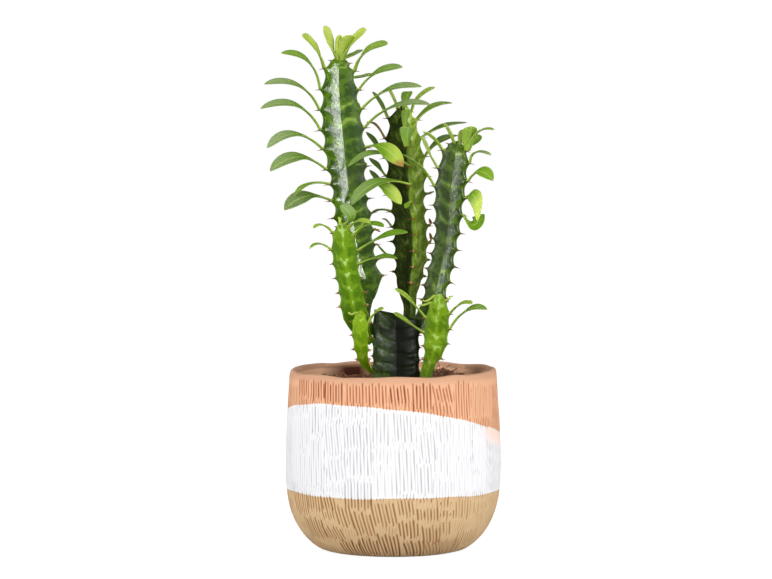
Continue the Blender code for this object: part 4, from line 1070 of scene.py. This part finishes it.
def comb(turn, height):
    """Groove depth, 0 to 1, at every point of the wall, and how much of it the strokes cover."""
    depth, cover = np.zeros_like(turn), np.zeros_like(turn)
    for number, (middle_turn, middle, half, tall, slope, count, strength) in enumerate(comb_strokes()):
        away = turn_between(turn, middle_turn) - slope * (height - middle)
        near = (np.abs(away) < half * 1.2 + 0.03) & (np.abs(height - middle) < tall + 3.0)
        line = (away[near] / half + 1.0) * 0.5 * count
        nearest = np.clip(np.round(line), 0, count)
        off = np.abs(line - nearest)
        phase = nearest * GROOVE_SHIFT + number * STROKE_SHIFT
        ends = tall + GROOVE_ENDS * np.sin(phase) - np.abs(height[near] - middle)
        fade = np.clip(ends / GROOVE_FADE, 0.0, 1.0)
        fade = fade * fade * (3.0 - 2.0 * fade)
        groove = 0.5 + 0.5 * np.cos(FULL_TURN * np.minimum(off, 0.5))
        weight = (0.3 + 0.7 * strength) * (0.84 + 0.16 * np.sin(phase * 1.31 + 0.15 * height[near]))
        cover[near] = np.maximum(cover[near], fade * np.clip(1.6 - 2.0 * off, 0.0, 1.0))
        depth[near] = np.maximum(depth[near], groove * fade * weight)
    return depth, cover


def scoring(turn, height):
    """Lighter all-over comb marks between the strokes, stronger in some patches than in others."""
    lines = turn * SCORE_LINES
    lines = lines + 1.4 * np.sin(3.0 * turn + 0.05 * height) + 0.7 * np.sin(0.19 * height + 9.0 * turn)
    patch = 0.5 + 0.5 * np.sin(17.0 * turn + 0.29 * height) * np.sin(0.21 * height - 7.0 * turn + 1.0)
    ends = np.sin(0.34 * height + 4.0 * np.sin(11.0 * turn) + 2.0)
    patch = patch * np.clip(1.4 - 1.6 * np.abs(ends) ** 6, 0.0, 1.0)
    faint = np.where(height < SCORE_FOOT, 0.62, 1.0) * np.clip((SCORE_TOP - height) / 3.0, 0, 1)
    return (0.5 + 0.5 * np.cos(lines)) * (0.46 + 0.4 * patch) * faint


def round_points(out, turn, high):
    """Points, one after the other, at distances from the pot's axis, turns and heights."""
    return np.stack((out * np.cos(turn), out * np.sin(turn), high), axis=-1).reshape(-1, 3).tolist()


def build_pot():
    """The wall and the lip in fine columns, with every groove; the inside and the base in coarse ones."""
    outside = flow(POT_OUTSIDE, WALL_ROWS)
    rows = np.concatenate((outside, flow([POT_OUTSIDE[-1]] + POT_LIP + [POT_INSIDE[0]], LIP_ROWS)[1:]))
    number = np.arange(len(rows))[:, None]
    wall, brim = number < WALL_ROWS, number < WALL_ROWS + BRIM_ROWS
    turn, height = np.meshgrid(FULL_TURN * np.arange(POT_COLUMNS) / POT_COLUMNS, rows[:, 1])
    depth, cover = comb(turn, height)
    depth = np.where(wall, np.maximum(depth, scoring(turn, height) * (1.0 - cover)), 0.0)
    knead = (0.22 * np.sin(7 * turn + 0.11 * height) * np.sin(0.13 * height + 2 * turn)
             + 0.16 * np.sin(17 * turn - 0.07 * height + 1.0)) * wall
    out, high = pot_wall(rows[:, :1], height, turn, LIP_WAVES + LIP_RIPPLES)
    out = out - WALL_INSET + KNEADING * knead - GROOVE_DEPTH * depth ** 2.5
    points = round_points(out, turn, high)
    border = DIP_UPPER[0] + DIP_UPPER[1] * np.cos(turn) + DIP_UPPER[2] * np.sin(turn)
    border = border + 0.35 * np.sin(5 * turn + 1.0) + 0.2 * np.sin(13 * turn)
    first = border - high - 1.7 * depth ** 2
    second = DIP_LOWER + 0.5 * np.sin(4 * turn + 0.6) + 0.25 * np.sin(11 * turn) - high + 1.6 * depth ** 2
    away = np.abs(turn_between(turn, BLUSH_TURN))
    blush = np.clip(1.6 - first / BLUSH_REACH, 0.0, 1.0) * (first > 0.0)
    blush = blush * np.clip((BLUSH_HALF - away) / BLUSH_EDGE, 0.0, 1.0)
    # Dark marks inside the lip: partly soil stain, partly painted shadow of the plant.
    stain = sum(np.clip(strong * (1.25 - np.abs(np.degrees(turn) - middle) / half), 0.0, strong)
                for middle, half, strong in STAINS_AND_SHADOWS)
    stain = stain * np.clip((STAIN_SHADOW_TOP - high) / STAIN_SHADOW_EDGE, 0.0, 1.0)
    # The inside is marked for painted light, the lip's top for painted shade.
    values = {"first": np.where(wall, first, NO_ZONE), "second": np.where(wall, second, NO_ZONE),
              "groove": depth, "blush": blush, "inner": ~brim + 0.0 * turn,
              "stain": stain * ~wall * (out < STAIN_SHADOW_RADIUS),
              "brim": np.clip((high - BRIM_START) / BRIM_EDGE, 0.0, 1.0) * brim}
    faces = tube_faces(len(rows), POT_COLUMNS)[:-2 * POT_COLUMNS]
    coarse = POT_COLUMNS // FAN
    coarse_turn = FULL_TURN * np.arange(coarse) / coarse

    def add_face(face, inside):
        faces.append(face if inside else face[::-1])

    def add_ring(radius, height):
        out, high = pot_wall(radius, height, coarse_turn, LIP_WAVES + LIP_RIPPLES)
        points.extend(round_points(out, coarse_turn, high))
        return len(points) - coarse

    def join_fine(fine, ring, inside):
        """Fans of triangles from a fine ring of the wall to a coarse ring."""
        for column, after in neighbours(coarse):
            for part in range(FAN):
                one, two = (fine + (column * FAN + part + step) % POT_COLUMNS for step in (0, 1))
                add_face((one, two, ring + (column if part < FAN // 2 else after)), inside)
            add_face((fine + column * FAN + FAN // 2, ring + after, ring + column), inside)

    def close(ring, height, inside):
        """A fan of triangles from a coarse ring to its middle."""
        points.append((0.0, 0.0, height))
        for column, after in neighbours(coarse):
            add_face((ring + column, ring + after, len(points) - 1), inside)

    ring = add_ring(*INNER_RING)
    join_fine((len(rows) - 1) * POT_COLUMNS, ring, True)
    for radius, height in POT_INSIDE[1:]:
        below = add_ring(radius, height)
        for column, after in neighbours(coarse):
            add_face((ring + column, ring + after, below + after, below + column), True)
        ring = below
    close(ring, POT_INSIDE[-1][1], True)
    ring = add_ring(*BASE_RING)
    join_fine(0, ring, False)
    close(ring, BASE_RING[1], False)
    extra = len(points) - turn.size
    for key, fine in values.items():
        values[key] = np.concatenate((fine.ravel(), np.full(extra, NO_ZONE if key in FOOT_ZONE else 0.0)))
    for key, zone in FOOT_ZONE.items():
        values[key][ring:] = zone
    add_piece("pot_wall", points, faces, pot_material(), values, ["pot"])


# Soil

SOIL_COLUMNS = 144
SOIL_FINE_RINGS = 46
# A heap at the back: height, place and spread. Clods and grains: height, closeness and layer of the noise.
HEAP = (4.6, 36.0, 44.0, 70.0)
HOLLOW_DEPTH = 3.2
CLODS = (1.3, 0.22, 3.7)
GRAINS = (0.7, 0.75, 9.1)
CRUMBS = 2300
CRUMB_REACH = 64.5
CRUMB_LEAST = 0.45
CRUMB_RANGE = 1.5
GOLDEN = (1.0 + math.sqrt(5.0)) / 2.0
CRUMB_CORNERS = [(-1, GOLDEN, 0), (1, GOLDEN, 0), (-1, -GOLDEN, 0), (1, -GOLDEN, 0), (0, -1, GOLDEN),
                 (0, 1, GOLDEN), (0, -1, -GOLDEN), (0, 1, -GOLDEN), (GOLDEN, 0, -1), (GOLDEN, 0, 1),
                 (-GOLDEN, 0, -1), (-GOLDEN, 0, 1)]
CRUMB_SIDES = [(0, 11, 5), (0, 5, 1), (0, 1, 7), (0, 7, 10), (0, 10, 11), (1, 5, 9), (5, 11, 4), (11, 10, 2),
               (10, 7, 6), (7, 1, 8), (3, 9, 4), (3, 4, 2), (3, 2, 6), (3, 6, 8), (3, 8, 9), (4, 9, 5),
               (2, 4, 11), (6, 2, 10), (8, 6, 7), (9, 8, 1)]
# Fibres and twigs on the soil: place, heading, rise, length and tint.
TWIGS = [(-34, 30, 20, 3.5, 12, 1.0), (-30, 34, 150, 4.5, 8, 1.0), (-38, 26, 60, 4.0, 6, 0.8),
         (-24, 40, 10, 5.0, 9, 1.0), (31, 45, 70, 5.5, 4, 0.3), (34, 43, 130, 6.5, 5, 0.3),
         (37, 44, 40, 4.5, 5, 0.5), (40, 42, 350, 3.0, 6, 0.9), (29, 42, 160, 4.0, 4, 0.4),
         (46, 30, 30, 2.5, 6, 0.8), (-46, 20, 100, 3.0, 6, 0.6), (8, 52, 20, 3.0, 9, 0.9),
         (-12, -46, 200, 2.0, 9, 0.8), (24, -44, 330, 2.0, 8, 0.7), (-40, -24, 250, 2.0, 8, 0.8)]
TWIG_ROWS = 5
TWIG_CORNERS = [(0.32, 0.0), (0.0, 0.32), (-0.32, 0.0), (0.0, -0.32)]
TWIG_SINK = 0.6


def bumps(x, y, size, close, layer):
    return size * noise.noise(Vector((x * close, y * close, layer)))


def lumpy(x, y):
    """Fine soil height: the part's mound with clods, grains, a heap at the back and a hollow beside it."""
    high, heap_x, heap_y, spread = HEAP
    heap = high * math.exp(-((x - heap_x) ** 2 + (y - heap_y) ** 2) / spread)
    hollow = HOLLOW_DEPTH * min(1.0, max(0.0, (x - 6.0) / 14.0)) * min(1.0, max(0.0, (y + 20.0) / 30.0))
    return soil_height(x, y) + heap - hollow + bumps(x, y, *CLODS) + abs(bumps(x, y, *GRAINS))


def build_soil(draw):
    turns = [FULL_TURN * column / SOIL_COLUMNS for column in range(SOIL_COLUMNS)]

    def wall_point(radius, height, turn):
        out, high = pot_wall(radius, height, turn)
        return out * math.cos(turn), out * math.sin(turn), high

    sunk = [(radius - GAP, height + GAP) for radius, height in reversed(POT_INSIDE)
            if height < SOIL_LEVEL - SOIL_SHOULDER]
    points = [wall_point(radius, height, turn) for radius, height in sunk for turn in turns]
    for step in range(SOIL_FINE_RINGS):
        share = (1.0 - step / SOIL_FINE_RINGS) ** 0.85
        drop = SOIL_EDGE_DROP * max(0.0, 1.0 - step / 3.0)
        for turn in turns:
            x, y, _ = wall_point(POT_INSIDE[0][0] - GAP - 0.1, SOIL_LEVEL, turn)
            points.append((x * share, y * share, lumpy(x * share, y * share) - drop))
    points += [(0.0, 0.0, sunk[0][1]), (0.0, 0.0, lumpy(0.0, 0.0))]
    tint = [0.5 + 0.5 * noise.noise(Vector((x * 0.5, y * 0.5, 1.0))) for x, y, _ in points]
    earth = soil_material("potting_soil", (46, 28, 18), (96, 60, 40), (150, 98, 64))
    faces = tube_faces(len(sunk) + SOIL_FINE_RINGS, SOIL_COLUMNS)
    add_piece("soil_bed", points, faces, earth, {"tint": tint}, ["soil"])
    crumbs = Gather("tint")
    corners = [Vector(corner).normalized() for corner in CRUMB_CORNERS]
    for _ in range(CRUMBS):
        turn, share = draw.uniform(0.0, FULL_TURN), draw.uniform(0.0, 1.0) ** 0.5
        x, y = CRUMB_REACH * share * math.cos(turn), CRUMB_REACH * share * math.sin(turn)
        size = CRUMB_LEAST + CRUMB_RANGE * draw.random() ** 3
        long = 1.0 + 1.6 * draw.random() ** 3
        spin = draw.uniform(0.0, math.pi)
        z = lumpy(x, y) + 0.25 * size
        stretch = Vector((math.cos(spin), math.sin(spin), draw.uniform(-0.3, 0.4)))
        shape = []
        for corner in corners:
            point = corner * (size * draw.uniform(0.72, 1.12))
            point += stretch * (point.dot(stretch) * (long - 1.0))
            shape.append((x + point.x, y + point.y, z + 0.8 * point.z))
        crumbs.take(shape, CRUMB_SIDES, tint=draw.random() ** 2)
    for x, y, turn, climb, long, tint in TWIGS:
        head = Vector((math.cos(math.radians(turn)), math.sin(math.radians(turn)), 0.0))
        side, up = Vector((-head.y, head.x, 0.0)), Vector((0.0, 0.0, 1.0))
        rows = []
        for row in range(TWIG_ROWS):
            part = row / (TWIG_ROWS - 1)
            place = Vector((x, y, lumpy(x, y) - TWIG_SINK)) + head * (long * part)
            place += side * (0.12 * long * math.sin(4.0 * part + x))
            place += up * (climb * part * (1.4 - 0.4 * part))
            rows += [place + side * across + up * rise for across, rise in TWIG_CORNERS]
        rows += [0.5 * (rows[0] + rows[2]), 0.5 * (rows[-4] + rows[-2])]
        crumbs.take(rows, tube_faces(TWIG_ROWS, len(TWIG_CORNERS)), tint=tint)
    grains = soil_material("soil_crumbs", (56, 34, 22), (124, 76, 52), (206, 150, 104))
    add_piece("soil_crumbs", crumbs.points, crumbs.faces, grains, crumbs.values)


# The plant

# Colours (dark, mid, pale, edge), mottle, wax, relief, pale midline, painted shade in the valley, and darker
# bands that are scars on the trunk and the left column, painted shade on the shoots; and for the halves of
# the faces, by
# face and side: how far they bulge, their gloss and how much painted shade darkens them.
STEM_LOOKS = [
    (TRUNK, ((34, 50, 12), (56, 78, 24), (78, 108, 36), (50, 66, 26)), 0.8, 0.3, 2.6, 0.0, 1.0,
     [(2.0, 5.0, 0.7)],
     {(1, 1.0): (0.02, 0.6, 0.0), (1, -1.0): (0.02, 0.12, 0.9), (0, -1.0): (0.0, 0.5, 0.2)}),
    (COLUMN_LEFT, ((46, 78, 0), (84, 120, 8), (138, 168, 62), (110, 146, 30)), 0.5, 0.5, 0.3, 0.05, 0.0,
     [(85.0, 7.0, 0.75)], {(1, 1.0): (0.019, 1.0, 0.0), (1, -1.0): (0.0, 0.0, 0.2)}),
    (COLUMN_MIDDLE, ((104, 132, 22), (150, 178, 62), (204, 218, 160), (84, 112, 30)), 0.6, 0.25, 0.26, 0.1,
     0.0, [], {(1, 1.0): (None, 0.1, 1.0), (1, -1.0): (None, 0.1, 1.0), (2, 1.0): (0.02, 0.5, 0.0),
               (2, -1.0): (None, 0.5, 0.0)}),
    (COLUMN_RIGHT, ((42, 64, 2), (74, 102, 14), (122, 150, 60), (98, 136, 34)), 0.5, 0.5, 0.3, 0.05, 0.0,
     [], {(1, 1.0): (0.0, 0.05, 0.3), (1, -1.0): (0.019, 0.95, 0.0)}),
    (SHOOT_LEFT_UPPER, ((72, 110, 2), (104, 140, 14), (162, 188, 100), (118, 154, 30)), 0.36, 0.12, 0.24,
     0.34, 0.0, [(88.0, 24.0, 0.8)], {}),
    (SHOOT_LEFT_LOWER, ((94, 130, 2), (120, 154, 16), (154, 182, 72), (134, 168, 36)), 0.4, 0.14, 0.2, 0.1,
     0.0, [], {}),
    (SHOOT_RIGHT_LOWER, ((80, 114, 0), (112, 146, 16), (152, 184, 84), (130, 164, 42)), 0.5, 0.14, 0.24, 0.3,
     0.0, [(66.0, 18.0, 0.9)], {}),
]


def build_plant():
    leaf_skin, thorn_skin = leaf_material(), thorn_material()
    for number, (stem, colours, mottle, wax, *form) in enumerate(STEM_LOOKS):
        name = stem.name
        build_body(stem, skin_material(name + "_skin", *colours, mottle, wax), *form)
        draw = random.Random(100 + number)
        thorns = Gather("reach", "tan")
        for rib in (LEFT, RIGHT, BACK):
            for tooth in range(1 if any(stem.crests) else 0, stem.teeth):
                if (rib, tooth) not in BARE_TEETH.get(name, []):
                    add_thorns(thorns, stem, rib, tooth, draw)
        add_piece(name + "_thorns", thorns.points, thorns.faces, thorn_skin, thorns.values, [name])
        if name in LEAVES:
            leaves = Gather("along", "across", "under", "tone", "wither", "bloom")
            for row in LEAVES[name]:
                add_leaf(leaves, stem, Leaf(*row), draw)
            add_piece(name + "_leaves", leaves.points, leaves.faces, leaf_skin, leaves.values, [name])


# Stage, light and camera

FLOOR_HALF = 6.0
FLOOR_HEIGHT = -0.0004
FLOOR_GLOW = 1.3
WHITE = (1.0, 1.0, 1.0, 1.0)
ROOM_LIGHT = 0.6
# The room's light for rays that show it in a gloss, and for the camera.
ROOM_SEEN = [("Is Glossy Ray", 0.06), ("Is Camera Ray", 1.0)]
# Strips: place to the side, width and power. Soft lights: place and power. Low lights: side and power.
STRIPS = [(0.85, 0.22, 28.0), (-0.85, 0.16, 10.0)]
SOFT_LIGHTS = [((0.95, -1.75, 0.8), 16.5), ((-0.95, -1.75, 0.8), 9.0), ((-1.5, -1.0, 0.9), 5.0),
               ((1.7, -0.7, 0.9), 3.5)]
LOW_LIGHTS = [(-1.6, 0.2), (1.6, 0.17)]
LOW_SPREAD = 24.0
EDGE_SIDES = (-1.9, 1.9)
EDGE_POWER = 3.5
CAMERA_LENS = 184.2
CAMERA_TILT = 3.44

def build_stage():
    """A pale floor that the camera sees as nearly white, and that reflects little in the glossy skins."""
    paint = Paint("floor_paint", 0.8)
    path = paint.add("ShaderNodeLightPath")
    seen, glossy = (Signal(paint, path.outputs[name]) for name in ("Is Camera Ray", "Is Glossy Ray"))
    pale = paint.mix(paint.noise(3.0, 2.0), (246, 246, 246), (250, 250, 250))
    dull = paint.mix(glossy, (205, 205, 205), (70, 70, 70))
    paint.feed(paint.shader.inputs["Base Color"], paint.mix(seen, dull, pale))
    glow = paint.add("ShaderNodeEmission")
    paint.feed(glow.inputs["Color"], pale)
    glow.inputs["Strength"].default_value = FLOOR_GLOW
    blend = paint.add("ShaderNodeMixShader")
    paint.feed(blend.inputs[0], seen * 0.75)
    paint.tree.links.new(paint.shader.outputs[0], blend.inputs[1])
    paint.tree.links.new(glow.outputs[0], blend.inputs[2])
    paint.tree.links.new(blend.outputs[0], paint.tree.nodes["Material Output"].inputs["Surface"])
    mesh = bpy.data.meshes.new("floor")
    corners = [(x * FLOOR_HALF, y * FLOOR_HALF, 0.0) for x, y in ((-1, -1), (1, -1), (1, 1), (-1, 1))]
    mesh.from_pydata(corners, [], [(0, 1, 2, 3)])
    mesh.materials.append(paint.material)
    floor = bpy.data.objects.new("floor", mesh)
    floor.location.z = FLOOR_HEIGHT
    bpy.context.scene.collection.objects.link(floor)


def add_light(name, place, aim, size, power):
    lamp = bpy.data.lights.new(name, "AREA")
    lamp.shape = "RECTANGLE"
    lamp.size, lamp.size_y = size
    lamp.energy = power
    light = bpy.data.objects.new(name, lamp)
    light.location = place
    light.rotation_euler = (Vector(aim) - Vector(place)).to_track_quat("-Z", "Y").to_euler()
    bpy.context.scene.collection.objects.link(light)
    return light


def build_light():
    """A white room, dim in reflections, strips that show only as highlights, and soft lights that don't."""
    world = bpy.data.worlds.new("studio")
    bpy.context.scene.world = world
    world.use_nodes = True
    tree = world.node_tree
    path = tree.nodes.new("ShaderNodeLightPath")
    light = tree.nodes["Background"]
    light.inputs["Color"].default_value = WHITE
    light.inputs["Strength"].default_value = ROOM_LIGHT
    for rays, strength in ROOM_SEEN:
        other, mix = tree.nodes.new("ShaderNodeBackground"), tree.nodes.new("ShaderNodeMixShader")
        other.inputs["Color"].default_value = WHITE
        other.inputs["Strength"].default_value = strength
        tree.links.new(path.outputs[rays], mix.inputs["Fac"])
        tree.links.new(light.outputs[0], mix.inputs[1])
        tree.links.new(other.outputs[0], mix.inputs[2])
        light = mix
    tree.links.new(light.outputs[0], tree.nodes["World Output"].inputs["Surface"])
    for side, width, power in STRIPS:
        strip = add_light("strip", (side, -1.85, 0.67), (0.0, 0.0, 0.67), (width, 1.3), power)
        strip.visible_diffuse = False
    for place, power in SOFT_LIGHTS:
        soft = add_light("soft", place, (0.0, 0.0, 0.15), (0.9, 1.2), power)
        soft.visible_glossy = False
    for side in EDGE_SIDES:
        add_light("edge", (side, -0.55, 0.5), (0.0, 0.0, 0.3), (0.16, 1.0), EDGE_POWER)
    for side, power in LOW_LIGHTS:
        low = add_light("low", (side, -0.8, 0.2), (0.0, 0.0, 0.055), (0.4, 0.3), power)
        low.data.spread = math.radians(LOW_SPREAD)
        low.visible_glossy = False
    bpy.context.scene.view_settings.view_transform = "Standard"


def build_camera():
    data = bpy.data.cameras.new("camera")
    data.lens = CAMERA_LENS
    data.sensor_width = 36.0
    data.clip_end = 50.0
    camera = bpy.data.objects.new("camera", data)
    camera.location = [value * MM for value in VIEW_POINT]
    camera.rotation_euler = (math.radians(90.0 - CAMERA_TILT), 0.0, 0.0)
    bpy.context.scene.collection.objects.link(camera)
    bpy.context.scene.camera = camera


build_pot()
build_soil(random.Random(21))
build_plant()
build_stage()
build_light()
build_camera()
